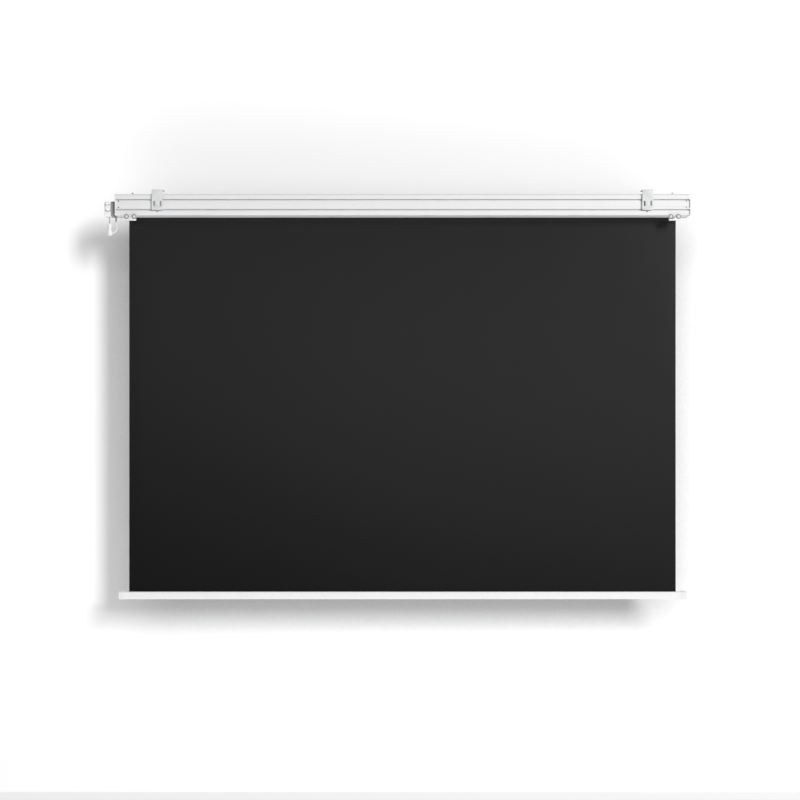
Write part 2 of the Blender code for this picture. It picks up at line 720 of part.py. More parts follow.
def make_angle(name, side, bore_r, finishes):
    """A steel angle inside one end of the case: an end plate and a tab behind the back wall."""
    back = CASE_BACK + ANGLE_CUT_BACK
    front = CASE_FRONT - ANGLE_CUT_FRONT
    low = CASE_BOTTOM + ANGLE_CUT_LOW
    high = CASE_TOP - ANGLE_CUT_TOP
    tab_back = BAND_INNER + GAP
    tab_low = LOWER_RAIL_Z + RAIL_MOUTH / 2 + CASE_WALL + 3 * GAP
    tab_high = UPPER_RAIL_Z - RAIL_MOUTH / 2 - CASE_WALL - 3 * GAP
    centre = ((back + front) / 2, (low + high) / 2)
    rounded = round_box(front - back, high - low, ANGLE_CORNER_R, centre, 3)
    ear = [(back, tab_high), (tab_back, tab_high), (tab_back, tab_low), (back, tab_low)]
    half = len(rounded) // 2
    outer = SHELL_END - GAP
    middle = (side * (outer - ANGLE_THICK / 2), 0, 0)
    plate = extrusion(name, [rounded[:half] + ear + rounded[half:]], ANGLE_THICK, middle)
    ends = sorted((middle[0], side * (outer - ANGLE_TAB)))
    tab_end = (ends[1], tab_back + ANGLE_THICK, tab_high - SEAM)
    join(plate, block("angle_tab", (ends[0], tab_back + SEAM, tab_low + SEAM), tab_end))
    cut(plate, rod("roller_bore", bore_r, 6 * ANGLE_THICK, (side * outer, ROLLER_Y, ROLLER_Z), sides=32))
    for index in range(2):
        place = rear_screw_place(side, index)
        hole = rod("tab_hole", SMALL_SHANK_R + GAP, 24 * MM, place, HEAD_BACK_TURN, 10)
        cut(plate, hole)
    return dress(plate, finishes["zinc"])


def make_motor(finishes):
    """The tubular motor's fixed parts: tube, dark mounting block, head and gland."""
    motor_x = -(HEAD_INNER - GAP - MOTOR_REACH / 2)
    tube_piece = rod("motor_tube", MOTOR_R, MOTOR_REACH, (motor_x, ROLLER_Y, ROLLER_Z), sides=40)
    dress(tube_piece, finishes["steel"])
    make_angle("motor_bracket", -1, MOTOR_R + GAP, finishes)
    make_flange(finishes)
    make_head(finishes)
    ridge = GLAND_LENGTH / 7
    profile = [(0, 0), (GLAND_R, 0)]
    for step in range(1, 6):
        taper = 1 - 0.05 * step
        profile += [(GLAND_R * taper, -step * ridge), (GLAND_R * (taper - 0.12), -(step + 0.3) * ridge)]
    profile += [(LEAD_D / 2, -GLAND_LENGTH), (0, -GLAND_LENGTH)]
    place = (-(CASE_END + GLAND_INSET), ROLLER_Y, FLANGE_BOTTOM - GAP)
    dress(turned("lead_gland", profile, place, sides=16), finishes["dark_plastic"])


def make_flange(finishes):
    """The grey block between case and head, with a neck between its two rims."""
    centre = (0, -FLANGE_DROP)
    outline = round_box(FLANGE_DEPTH, FLANGE_HEIGHT, FLANGE_CORNER_R, centre, 6)
    at = (-(CASE_END + GAP + FLANGE_LENGTH / 2), ROLLER_Y, ROLLER_Z)
    flange = extrusion("motor_flange", [outline, circle(MOTOR_R + GAP, 40)], FLANGE_LENGTH, at)
    room = 4 * FLANGE_GROOVE_DEPTH
    around = round_box(FLANGE_DEPTH + room, FLANGE_HEIGHT + room, FLANGE_CORNER_R, centre, 2)
    depth = FLANGE_GROOVE_DEPTH
    neck_size = (FLANGE_DEPTH - 2 * depth, FLANGE_HEIGHT - 2 * depth)
    neck = round_box(*neck_size, FLANGE_CORNER_R - depth, centre, 6)
    at = (-(CASE_END + GAP + FLANGE_RIM + FLANGE_GROOVE / 2), ROLLER_Y, ROLLER_Z)
    cut(flange, extrusion("flange_groove", [around, neck], FLANGE_GROOVE, at))
    dress(flange, finishes["dark_plastic"])


def adjuster_places():
    """The two limit adjusters' mouths on the panel, outer one first."""
    middle = -(HEAD_INNER + HEAD_LENGTH / 2)
    height = HEAD_TOP - PANEL_TOP - ADJUSTER_DROP
    return [(middle + step * ADJUSTER_PITCH / 2, PANEL_FACE, height) for step in (-1, 1)]


def make_head(finishes):
    """The white motor head with its raised panel, and the two limit adjusters in it."""
    middle = -(HEAD_INNER + HEAD_LENGTH / 2)
    outline = round_box(HEAD_DEPTH, HEAD_HEIGHT, HEAD_CORNER_R, (0, 0), 5)
    head = extrusion("motor_head", [outline], HEAD_LENGTH, (middle, ROLLER_Y, HEAD_Z))
    outside = HEAD_LENGTH / 2 * 0.9
    round_edges(head, HEAD_EDGE, lambda point: abs(point.z) > outside, 2)
    depth = PANEL_RISE + HEAD_CORNER_R
    outline = round_box(PANEL_WIDTH, PANEL_HEIGHT, PANEL_CORNER_R, (0, 0), 5)
    panel = extrusion("head_panel", [outline], depth, (middle, PANEL_FACE + depth / 2, PANEL_Z), ALONG_Y)
    face = depth / 2 * 0.9
    round_edges(panel, PANEL_EDGE, lambda point: point.z > face)
    join(head, panel)
    bore_length = 2 * (ADJUSTER_SINK + ADJUSTER_LENGTH + GAP)
    for word, place in zip(("outer", "inner"), adjuster_places()):
        cut(head, rod("adjuster_bore", ADJUSTER_R + GAP, bore_length, place, HEAD_BACK_TURN, 16))
        mouth = (place[0], place[1] + ADJUSTER_SINK, place[2])
        centre = (mouth[0], mouth[1] + ADJUSTER_LENGTH / 2, mouth[2])
        name = f"limit_adjuster_{word}"
        adjuster = rod(name, ADJUSTER_R, ADJUSTER_LENGTH, centre, HEAD_BACK_TURN, 16)
        cut(adjuster, rod("hex_socket", ADJUSTER_SOCKET_R, ADJUSTER_LENGTH, mouth, HEAD_BACK_TURN, 6))
        dress(adjuster, finishes["dark_plastic"])
    dress(head, finishes["white_plastic"])


def loop_point(step):
    """A point of the loop lead's route in the world."""
    across, up = step
    start = -(CASE_END + GLAND_INSET)
    return (start + across * MM, ROLLER_Y, GLAND_MOUTH - GAP + up * MM)


def between(points, part):
    """A smooth curve through four points, part of the way from the second to the third."""
    before, start, end, after = (Vector(p) for p in points)
    slope = 2 * before - 5 * start + 4 * end - after
    bend = 3 * (start - end) + after - before
    return start + 0.5 * part * (end - before + part * (slope + part * bend))


def smooth_route(route, steps):
    """A smooth curve through the route's points, with steps points to each stretch."""
    ends = [2 * Vector(route[0]) - Vector(route[1]), *route, 2 * Vector(route[-1]) - Vector(route[-2])]
    points = []
    for index in range(len(route) - 1):
        points += [between(ends[index : index + 4], part / steps) for part in range(steps)]
    return [*points, Vector(route[-1])]


def make_leads(finishes):
    """The short lead, the in-line connector and the loop of lead below the motor head."""
    place = (CONNECTOR_X, ROLLER_Y, HEAD_BOTTOM - GAP - HEAD_LEAD_LENGTH / 2)
    dress(rod("head_lead", HEAD_LEAD_D / 2, HEAD_LEAD_LENGTH, place, ALONG_Z, 10), finishes["grey_cable"])
    profile = [
        (0, 0),
        (CONNECTOR_R * 0.62, 0),
        (CONNECTOR_R * 0.9, -CONNECTOR_R * 0.18),
        (CONNECTOR_R, -CONNECTOR_R * 0.5),
        (CONNECTOR_R, -PLUG_LENGTH),
        (0, -PLUG_LENGTH),
    ]
    top = (CONNECTOR_X, ROLLER_Y, CONNECTOR_TOP)
    dress(turned("connector_plug", profile, top, sides=24), finishes["white_plastic"])
    collar_top = -(SOCKET_LENGTH - COLLAR_LENGTH)
    profile = [
        (0, 0),
        (CONNECTOR_R, 0),
        (CONNECTOR_R, collar_top + COLLAR_R - CONNECTOR_R),
        (COLLAR_R, collar_top),
        (COLLAR_R, -SOCKET_LENGTH + COLLAR_R * 0.2),
        (COLLAR_R * 0.8, -SOCKET_LENGTH),
        (0, -SOCKET_LENGTH),
    ]
    socket_top = Vector((CONNECTOR_X, ROLLER_Y, CONNECTOR_TOP - PLUG_LENGTH - GAP))
    socket = turned("connector_socket", profile, socket_top, sides=24)
    end = Vector(loop_point(LOOP_ROUTE[-1]))
    heading = (end - Vector(loop_point(LOOP_ROUTE[-2]))).normalized()
    inside = socket_top - Vector((0, 0, SOCKET_LENGTH - COLLAR_LENGTH * 0.6))
    mouth = end + heading * GAP
    root = mouth + heading * (inside.x - mouth.x) / heading.x * 0.8
    boot = rod("lead_boot", BOOT_R, (root - mouth).length, (root + mouth) / 2, ALONG_Z, 16)
    boot.rotation_euler = heading.to_track_quat("Z", "Y").to_euler()
    join(socket, boot)
    dress(socket, finishes["white_plastic"])
    route = smooth_route([loop_point(step) for step in LOOP_ROUTE], 2)
    dress(tube("loop_lead", route, LEAD_D), finishes["cable"])


def make_control(finishes):
    """The receiver in the case, above the roller, and the lead to it."""
    top = CASE_TOP - CASE_WALL - BOX_DROP
    far = -(CASE_END - BOX_INSET)
    low = (far, ROLLER_Y - BOX_DEPTH / 2, top - BOX_HEIGHT)
    box = block("control_box", low, (far + BOX_LENGTH, ROLLER_Y + BOX_DEPTH / 2, top))
    round_edges(box, BOX_EDGE, lambda point: True, 2)
    dress(box, finishes["dark_plastic"])
    height = CASE_TOP - CASE_WALL - INNER_LEAD_DROP
    behind = ROLLER_Y - INNER_LEAD_SET
    start = -(SHELL_END - GAP)
    run = far - GAP - start
    steps = ((0, 0), (0.25, 0), (0.5, 0.5), (0.75, 1), (1, 1))
    route = [(start + run * part, behind, height - INNER_LEAD_DIP * dip) for part, dip in steps]
    dress(tube("inner_lead", smooth_route(route, 2), LEAD_D), finishes["cable"])


def tube_insert(name, fit, width, bore_r, side):
    """A keyed insert in one end of the roller tube, with a collar outside it and a round bore."""
    collar_end = TUBE_END + GAP + TUBE_COLLAR
    length = width + collar_end - SEAM - TUBE_END
    middle = (side * (collar_end - SEAM - length / 2), ROLLER_Y, ROLLER_Z)
    insert = extrusion(name, [fit], length, middle)
    place = (side * (collar_end - TUBE_COLLAR / 2), ROLLER_Y, ROLLER_Z)
    join(insert, rod("collar", TUBE_R, TUBE_COLLAR, place, sides=40))
    cut(insert, rod("bore", bore_r, 4 * width, place, sides=32))
    return insert


def make_roller(finishes):
    """The roller tube, what turns with it and the fabric that stays wound on it."""
    turning = axis_at("roller_axis", (0, ROLLER_Y, ROLLER_Z))
    notch = TUBE_R - KEYWAY_DEPTH
    bump_width = KEYWAY_WIDTH + 2 * TUBE_WALL
    bore = keyed_circle(TUBE_BORE_R, bump_width, notch - TUBE_WALL)
    middle = (0, ROLLER_Y, ROLLER_Z)
    core = extrusion("roller_tube", [keyed_circle(TUBE_R, KEYWAY_WIDTH, notch), bore], 2 * TUBE_END, middle)
    dress(core, finishes["aluminium"])
    strip_size = (KEYWAY_WIDTH - 2 * GAP, KEYWAY_DEPTH - 2 * GAP)
    strip_outline = round_box(*strip_size, strip_size[1] / 4, (0, TUBE_R - KEYWAY_DEPTH / 2), 1)
    strip = extrusion("fabric_strip", [strip_outline], 2 * FABRIC_END, middle)
    dress(strip, finishes["white_plastic"])
    rings = [circle(WOUND_R, 40), circle(TUBE_R + GAP, 40)]
    wound = extrusion("wound_fabric", rings, 2 * FABRIC_END, middle)
    dress(wound, finishes["fabric"])
    fit = keyed_circle(TUBE_BORE_R - GAP, bump_width + 2 * GAP, notch - TUBE_WALL - GAP)
    square = round_box(SHAFT_SIDE, SHAFT_SIDE, SHAFT_SIDE / 10, steps=1)
    loose_square = round_box(SHAFT_SIDE + 2 * GAP, SHAFT_SIDE + 2 * GAP, SHAFT_SIDE / 10, steps=1)
    shaft_x = -(MOTOR_END - GAP - SHAFT_LENGTH / 2)
    shaft = extrusion("motor_shaft", [square], SHAFT_LENGTH, (shaft_x, ROLLER_Y, ROLLER_Z))
    dress(shaft, finishes["steel"])
    wheel = extrusion("drive_wheel", [fit, loose_square], WHEEL_WIDTH, (shaft_x, ROLLER_Y, ROLLER_Z))
    dress(wheel, finishes["white_plastic"])
    ring = tube_insert("limit_ring", fit, LIMIT_RING_WIDTH, MOTOR_R + GAP, -1)
    dress(ring, finishes["dark_plastic"])
    plug = tube_insert("idler_plug", fit, PLUG_WIDTH, PIN_R + GAP, 1)
    dress(plug, finishes["white_plastic"])
    plug_x = TUBE_END - PLUG_WIDTH / 2
    pin_end = SHELL_END - 2 * GAP
    pin = rod("idler_pin", PIN_R, pin_end - plug_x, ((pin_end + plug_x) / 2, ROLLER_Y, ROLLER_Z), sides=20)
    dress(pin, finishes["steel"])
    hang_on(turning, core, strip, wound, shaft, wheel, ring, plug, pin)


def make_idler_support(finishes):
    """The bearing that holds the idler pin, in its steel angle."""
    outer_r = PIN_R + GAP + BEARING_WALL
    make_angle("idler_bracket", 1, outer_r + GAP, finishes)
    centre = (SHELL_END - GAP - BEARING_WIDTH / 2, ROLLER_Y, ROLLER_Z)
    ring = extrusion("idler_bearing", [circle(outer_r, 24), circle(PIN_R + GAP, 20)], BEARING_WIDTH, centre)
    dress(ring, finishes["white_plastic"])


def bracket_outline():
    """A bracket in section: plate on the wall, ceiling flange and the hook in the upper rail."""
    thick = BRACKET_THICK
    outer = arc((BRACKET_BEND_R, BRACKET_TOP - BRACKET_BEND_R), BRACKET_BEND_R, 180, 90)
    inner = arc((BRACKET_BEND_R, BRACKET_TOP - BRACKET_BEND_R), BRACKET_BEND_R - thick, 90, 180)
    nose_top = UPPER_RAIL_Z + RAIL_MOUTH / 2 - GAP
    nose_low = nose_top - HOOK_THICK
    tip_top = nose_top + HOOK_LIFT
    tip_back = CASE_BACK + CASE_WALL + GAP
    tip_front = tip_back + HOOK_TIP
    flange = [(CEILING_REACH, BRACKET_TOP), (CEILING_REACH, BRACKET_TOP - thick)]
    hook = [(thick, nose_top), (tip_back, nose_top), (tip_back, tip_top), (tip_front, tip_top)]
    hook += [(tip_front, nose_low), (thick, nose_low)]
    return [(0, BRACKET_BOTTOM), *outer, *flange, *inner, *hook, (thick, BRACKET_BOTTOM)]


def jaw_outline():
    """A clamp jaw in section: body between plate and case, nose and hook in the lower rail."""
    back = BRACKET_THICK + GAP
    front = back + CLAMP_ROOM
    low = LOWER_RAIL_Z - RAIL_MOUTH / 2 + GAP
    top = BRACKET_BOTTOM + LIP_THICK + GAP + JAW_HEIGHT
    hook_back = CASE_BACK + CASE_WALL + GAP
    hook_front = hook_back + HOOK_TIP
    points = [(back, low), (back, top), (front, top), (front, low + JAW_NOSE), (hook_front, low + JAW_NOSE)]
    return points + [(hook_front, low - JAW_HOOK), (hook_back, low - JAW_HOOK), (hook_back, low)]


def make_bracket(word, side, finishes):
    """One wall bracket with its clamp jaw and clamp screw."""
    middle = side * BRACKET_X
    sliding = axis_at(f"bracket_{word}_slide", (middle, 0, 0))
    plate = extrusion(f"bracket_{word}", [bracket_outline()], BRACKET_WIDTH, (middle, 0, 0))
    lip_top = BRACKET_BOTTOM + LIP_THICK
    lip_low = (middle - LIP_WIDTH / 2, BRACKET_THICK / 2, BRACKET_BOTTOM)
    lip = block("bracket_lip", lip_low, (middle + LIP_WIDTH / 2, BRACKET_THICK + GAP + CLAMP_ROOM, lip_top))
    join(plate, lip)
    wall_slot = slotted(SLOT_WIDTH, SLOT_LENGTH)
    ceiling_slot = slotted(SLOT_WIDTH, CEILING_SLOT_LENGTH)
    for step in (-1, 1):
        place = (middle + step * SLOT_PITCH / 2, BRACKET_THICK / 2, 0)
        cut(plate, extrusion("wall_slot", [wall_slot], 4 * BRACKET_THICK, place, ALONG_Y))
        across = middle + step * CEILING_SLOT_PITCH / 2
        place = (across, CEILING_SLOT_SET, BRACKET_TOP - BRACKET_THICK / 2)
        cut(plate, extrusion("ceiling_slot", [ceiling_slot], 4 * BRACKET_THICK, place, ALONG_Z))
    screw_low = (middle, CLAMP_Y, BRACKET_BOTTOM)
    cut(plate, rod("clamp_hole", CLAMP_SHANK_R + GAP, 4 * LIP_THICK, screw_low, ALONG_Z, 12))
    dress(plate, finishes["grey_coat"])
    jaw = extrusion(f"clamp_jaw_{word}", [jaw_outline()], JAW_WIDTH, (middle, 0, 0))
    notch = LIP_WIDTH / 2 + GAP
    notch_low = (middle - notch, -CLAMP_ROOM, BRACKET_BOTTOM - JAW_HEIGHT)
    cut(jaw, block("lip_notch", notch_low, (middle + notch, CASE_BACK + CASE_DEPTH / 2, lip_top + GAP)))
    cut(jaw, rod("jaw_bore", CLAMP_SHANK_R + GAP, 4 * JAW_HEIGHT, screw_low, ALONG_Z, 12))
    dress(jaw, finishes["zinc"])
    place = (middle, CLAMP_Y, BRACKET_BOTTOM - GAP)
    sizes = (CLAMP_HEAD_R, CLAMP_HEAD, CLAMP_SHANK_R, CLAMP_REACH)
    clamp = screw(f"clamp_screw_{word}", *sizes, place, HEAD_DOWN_TURN, finishes["zinc"])
    hang_on(sliding, plate, jaw, clamp)


def make_clip(word, side, finishes):
    """A moulded clip that grips the case's lower edge and hooks into its slot."""
    middle = side * CLIP_X
    front = CASE_BACK - GAP
    half = CLIP_WEB / 2
    foot = CLIP_FOOT_WIDTH / 2
    foot_low = CLIP_FOOT_TOP - CLIP_FOOT_HEIGHT
    web_top = CLIP_FOOT_TOP + CLIP_WEB_RISE
    outline = [(-foot, foot_low), (foot, foot_low), (foot, CLIP_FOOT_TOP), (half, CLIP_FOOT_TOP)]
    outline += [(half, web_top), (-half, web_top), (-half, CLIP_FOOT_TOP), (-foot, CLIP_FOOT_TOP)]
    plate_y = CLIP_FACE + CLIP_THICK / 2
    clip = extrusion(f"lower_clip_{word}", [outline], CLIP_THICK, (middle, plate_y, 0), ALONG_Y)
    ledge_low = (middle - foot + SEAM, CLIP_FACE - CLIP_FOOT_PROUD, foot_low + SEAM)
    ledge_high = (middle + foot - SEAM, front + CLIP_FOOT_PROUD, CLIP_FOOT_TOP - SEAM)
    ledge = block("clip_ledge", ledge_low, ledge_high)
    round_edges(ledge, CLIP_FOOT_PROUD / 3, lambda point: True, 2)
    join(clip, ledge)
    join(clip, *clip_arm(middle, plate_y))
    for number, step in enumerate((-1, 1)):
        across = middle + step * CLIP_BOSS_PITCH / 2
        boss = (across, plate_y, CLIP_BOSS_Z)
        join(clip, rod("clip_boss", CLIP_BOSS_R, CLIP_THICK - SEAM, boss, HEAD_BACK_TURN, 24))
        post = (across, plate_y + CLIP_POST_REACH / 2, CLIP_BOSS_Z)
        join(clip, rod("clip_post", CLIP_POST_R, CLIP_POST_REACH, post, HEAD_BACK_TURN, 12))
        mouth = (across, CLIP_FACE, CLIP_BOSS_Z)
        bore_length = 2 * (SMALL_REACH + 2 * GAP)
        cut(clip, rod("clip_bore", SMALL_SHANK_R + GAP, bore_length, mouth, HEAD_BACK_TURN, 12))
        make_clip_screw(f"clip_screw_{word}_{number + 1}", across, finishes)
    dress(clip, finishes["white_plastic"])


def clip_arm(middle, plate_y):
    """The strap under the case and the hook at its end, in the case's slot."""
    top = CASE_BOTTOM - GAP
    half = CLIP_ARM_WIDTH / 2
    hook_back = FABRIC_Y - SLOT_BACK + GAP
    hook_front = hook_back + CLIP_HOOK
    low = (middle - half, plate_y, top - CLIP_ARM_THICK)
    strap = block("clip_strap", low, (middle + half, hook_front, top))
    low = (middle - half + SEAM, hook_back, top - CLIP_ARM_THICK / 2)
    hook = block("clip_hook", low, (middle + half - SEAM, hook_front - SEAM, top + CLIP_HOOK_RISE))
    return strap, hook


def make_clip_screw(name, across, finishes):
    """A dome-head screw with a wide washer face."""
    dome = CLIP_SCREW_R
    rim = CLIP_WASHER
    profile = [
        (0, rim + dome * 0.42),
        (dome * 0.5, rim + dome * 0.37),
        (dome * 0.85, rim + dome * 0.2),
        (dome, rim),
        (CLIP_WASHER_R - rim / 3, rim),
        (CLIP_WASHER_R, rim * 2 / 3),
        (CLIP_WASHER_R, 0),
        (SMALL_SHANK_R, 0),
        (SMALL_SHANK_R, -SMALL_REACH + SMALL_SHANK_R),
        (0, -SMALL_REACH),
    ]
    place = (across, CLIP_FACE - GAP, CLIP_BOSS_Z)
    dress(turned(name, profile, place, HEAD_BACK_TURN, 20), finishes["white_plastic"])


def bar_outline():
    """The bottom bar in section: round corners, two grooves a side and the keeper's keyhole."""
    half = BAR_DEPTH / 2
    in_half = half - BAR_CORNER_R
    low = -BAR_HEIGHT + BAR_CORNER_R
    nick = BAR_GROOVE_DEPTH
    room = KEEPER_R + KEEPER_CLEAR
    mouth = KEEPER_SLOT / 2
    points = [(-mouth, 0), *arc((-in_half, -BAR_CORNER_R), BAR_CORNER_R, 90, 180)]
    for drop in BAR_GROOVES:
        points += [(-half, -drop + nick), (-half + nick, -drop), (-half, -drop - nick)]
    points += arc((-in_half, low), BAR_CORNER_R, 180, 270) + arc((in_half, low), BAR_CORNER_R, 270, 360)
    for drop in reversed(BAR_GROOVES):
        points += [(half, -drop - nick), (half - nick, -drop), (half, -drop + nick)]
    points += [*arc((in_half, -BAR_CORNER_R), BAR_CORNER_R, 0, 90), (mouth, 0)]
    swing = degrees(acos(mouth / room))
    return points + arc((0, -KEEPER_DROP), room, swing, -180 - swing, 20)


def make_bar(finishes):
    """The bottom bar with its keeper, weight, end caps and their screws."""
    carried = axis_at("bar_lift", (0, FABRIC_Y, BAR_TOP))
    top = (0, FABRIC_Y, BAR_TOP)
    rod_drop = -BAR_HEIGHT + ROD_RISE
    weight_hole = circle(ROD_R + ROD_CLEAR, 20, (0, rod_drop))
    bar = extrusion("bottom_bar", [bar_outline(), weight_hole], 2 * EXTRUSION_END, top)
    dress(bar, finishes["white_coat"])
    inner_length = 2 * (EXTRUSION_END - KEEPER_SHORT)
    keeper = rod("fabric_keeper", KEEPER_R, inner_length, (0, FABRIC_Y, BAR_TOP - KEEPER_DROP), sides=16)
    dress(keeper, finishes["white_plastic"])
    weight = rod("weight_rod", ROD_R, inner_length, (0, FABRIC_Y, BAR_TOP + rod_drop), sides=20)
    dress(weight, finishes["steel"])
    hang_on(carried, bar, keeper, weight)
    for word, side in SIDES.items():
        hang_on(carried, *make_bar_end(word, side, finishes))


def make_bar_end(word, side, finishes):
    """One end cap of the bottom bar, with the bump on top of it, and its screw."""
    skin = GAP + BAR_CAP_WALL
    length = BAR_CAP_SLEEVE + BAR_CAP_PLATE
    middle = (0, -BAR_HEIGHT / 2)
    outline = round_box(BAR_DEPTH + 2 * skin, BAR_HEIGHT + 2 * skin, BAR_CORNER_R + skin, middle)
    at = (side * (BAR_END - length / 2), FABRIC_Y, BAR_TOP)
    cap = extrusion(f"bar_cap_{word}", [outline], length, at)
    outside = length / 2 * 0.9
    round_edges(cap, BAR_CAP_PLATE / 3, lambda point: point.z * side > outside)
    bump_x = side * (BAR_END - BUMP_INSET)
    bump = (bump_x, FABRIC_Y, BAR_TOP + skin + BUMP_RISE - BUMP_R)
    join(cap, rod("cap_bump", BUMP_R, BAR_DEPTH - BAR_CORNER_R, bump, HEAD_BACK_TURN, 20))
    hollow = round_box(BAR_DEPTH + 2 * GAP, BAR_HEIGHT + 2 * GAP, BAR_CORNER_R + GAP, middle)
    sleeve = (side * (BAR_END - BAR_CAP_PLATE - BAR_CAP_SLEEVE), FABRIC_Y, BAR_TOP)
    cut(cap, extrusion("sleeve_hollow", [hollow], 2 * BAR_CAP_SLEEVE, sleeve))
    mouth = (side * BAR_END, FABRIC_Y, BAR_TOP - KEEPER_DROP)
    cut(cap, rod("cap_screw_bore", SMALL_SHANK_R + GAP, 4 * BAR_CAP_PLATE, mouth, sides=10))
    cut(cap, rod("cap_screw_recess", SMALL_HEAD_R + GAP, 2 * COUNTERBORE, mouth, sides=12))
    dress(cap, finishes["white_plastic"])
    seat = (side * (BAR_END - COUNTERBORE + GAP), mouth[1], mouth[2])
    return cap, small_screw(f"bar_cap_screw_{word}", seat, head_out_turn(side), finishes)


def make_fabric(finishes):
    """The hanging fabric, from the roller down into the bottom bar."""
    half = FABRIC_THICK / 2
    low = (-FABRIC_END, FABRIC_Y - half, BAR_TOP - FABRIC_TUCK)
    sheet = block("screen_fabric", low, (FABRIC_END, FABRIC_Y + half, ROLLER_Z))
    dress(sheet, finishes["fabric"])


def main():
    """Builds the whole screen."""
    clear_scene()
    finishes = make_finishes()
    make_case(finishes)
    make_end_caps(finishes)
    make_case_screws(finishes)
    make_motor(finishes)
    make_leads(finishes)
    make_control(finishes)
    make_roller(finishes)
    make_idler_support(finishes)
    make_fabric(finishes)
    make_bar(finishes)
    for word, side in SIDES.items():
        make_bracket(word, side, finishes)
        make_clip(word, side, finishes)


main()
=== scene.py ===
"""Motorized projector screen: fine surfaces, finishes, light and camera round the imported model.

Metres, in the model's own frame: +Z up, +X right as the camera sees it, +Y towards the audience.
"""

import json
from contextlib import contextmanager
from functools import partial
from math import acos, degrees, pi, radians, sqrt

import bmesh
import bpy
import numpy as np
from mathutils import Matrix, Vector
from mathutils.geometry import tessellate_polygon


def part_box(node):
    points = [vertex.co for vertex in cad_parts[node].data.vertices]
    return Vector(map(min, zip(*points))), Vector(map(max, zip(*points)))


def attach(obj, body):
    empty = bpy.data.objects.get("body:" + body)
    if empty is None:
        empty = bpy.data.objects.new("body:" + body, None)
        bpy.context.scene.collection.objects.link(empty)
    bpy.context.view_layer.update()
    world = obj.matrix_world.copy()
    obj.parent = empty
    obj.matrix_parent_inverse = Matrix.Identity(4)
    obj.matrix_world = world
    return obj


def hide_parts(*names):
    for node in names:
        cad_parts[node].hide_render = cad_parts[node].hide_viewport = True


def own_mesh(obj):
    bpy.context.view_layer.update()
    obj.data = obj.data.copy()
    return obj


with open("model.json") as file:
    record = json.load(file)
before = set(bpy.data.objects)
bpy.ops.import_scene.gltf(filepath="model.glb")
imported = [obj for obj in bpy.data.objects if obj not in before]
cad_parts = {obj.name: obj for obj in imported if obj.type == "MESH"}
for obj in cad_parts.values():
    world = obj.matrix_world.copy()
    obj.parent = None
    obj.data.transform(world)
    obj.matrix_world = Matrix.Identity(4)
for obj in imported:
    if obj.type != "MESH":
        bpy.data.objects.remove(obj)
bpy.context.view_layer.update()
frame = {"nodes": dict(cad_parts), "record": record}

MM = 0.001
GAP = 0.3 * MM
SAME_PLACE = 0.0001 * MM  # points closer than this are one
SIDES = {"left": -1, "right": 1}
BACK = (0, -1, 0)
UP = (0, 0, 1)

BODY_OF = {node: body for body, nodes in frame["record"]["behaviour"]["bodies"].items() for node in nodes}
SLOT_OF = {part["node"]: part["material_slot"] for part in frame["record"]["subparts"]}

# Case section
CASE_WALL = 1.5 * MM
CASE_BACK_TOP_R = 6 * MM
CASE_BACK_LOW_R = 3.6 * MM  # more than CAP_EDGE
CASE_FRONT_TOP_R = 12 * MM
CASE_FRONT_LOW_R = 6 * MM
CAP_EDGE = 3.4 * MM
CAP_INNER_EDGE = 0.3 * MM
CAP_BORE_DEPTH = 9 * MM
# The right cap's painted shade starts this far below the case's top; the next pair bounds the lit line left
# white, level with the lower lip.
CAP_SHADE_FROM = 19.3 * MM  # below the case's top
CAP_LIT_LINE = (49.3 * MM, 53.2 * MM)
RAIL_UPPER = 19.6 * MM  # the rails' middles below the case's top, and their mouth as packed
RAIL_LOWER = 56 * MM
RAIL_MOUTH = 3.4 * MM
RAIL_UNDERCUT = 3 * MM
RAIL_ROOM = 5 * MM
UPPER_MOUTH = (-0.8 * MM, -6.2 * MM)  # lip's and band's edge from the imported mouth's upper edge
LOWER_MOUTH = (-1.6 * MM, 3.2 * MM)  # the same from its lower edge, clear of the lifted jaws
LIP_EASE = 0.35 * MM  # rounding of the rails' lips
BAND_SETBACK = 1 * MM
FLUTE_HEIGHT = 11 * MM
FLUTE_DEPTH = 0.8 * MM
FLUTE_RISE = 0.5 * MM  # above the lower groove
PORT_BORE_R = 1.6 * MM
PORT_WALL = 2.4 * MM
PORT_INSET = 3 * MM
SLOT_BACK = 7 * MM
SLOT_FRONT = 5 * MM

# Screws: head's radius and height, shank's radius
SMALL_SCREW = (2.4 * MM, 1.5 * MM, 1.3 * MM)
TOP_SCREW = (3.6 * MM, 6.6 * MM, 1.6 * MM)
HEAD_RIM = 0.1 * MM
DOME_FALL = 0.6  # the dome's fall and the cross's depth, as shares of the head's height
CROSS_DEPTH = 0.55
CROSS_WIDTH = 0.11  # half an arm's width, its reach and its soft edge, as shares of the head's radius
CROSS_REACH = 0.6
CROSS_SOFT = 0.08
RECESS = (2.7 * MM, 1.8 * MM)  # radius and depth
RECESS_BORE_R = 1.6 * MM

# Roller and fabric
ROLLER_Y = 52.4 * MM
MOTOR_R = 16.5 * MM
FABRIC_THICK = 0.4 * MM
FABRIC_SPREAD = 1 * MM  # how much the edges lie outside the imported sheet's
FABRIC_WAVE = 0.5 * MM
FABRIC_CURL = 0.8 * MM
CURL_WIDTH = 60 * MM
WEAVE_PITCH = 0.45 * MM
BORDER_SIDE = 47.5 * MM
BORDER_TOP = 274 * MM  # from the roller down
BORDER_FOOT = 48 * MM
BORDER_SOFT = 0.5 * MM

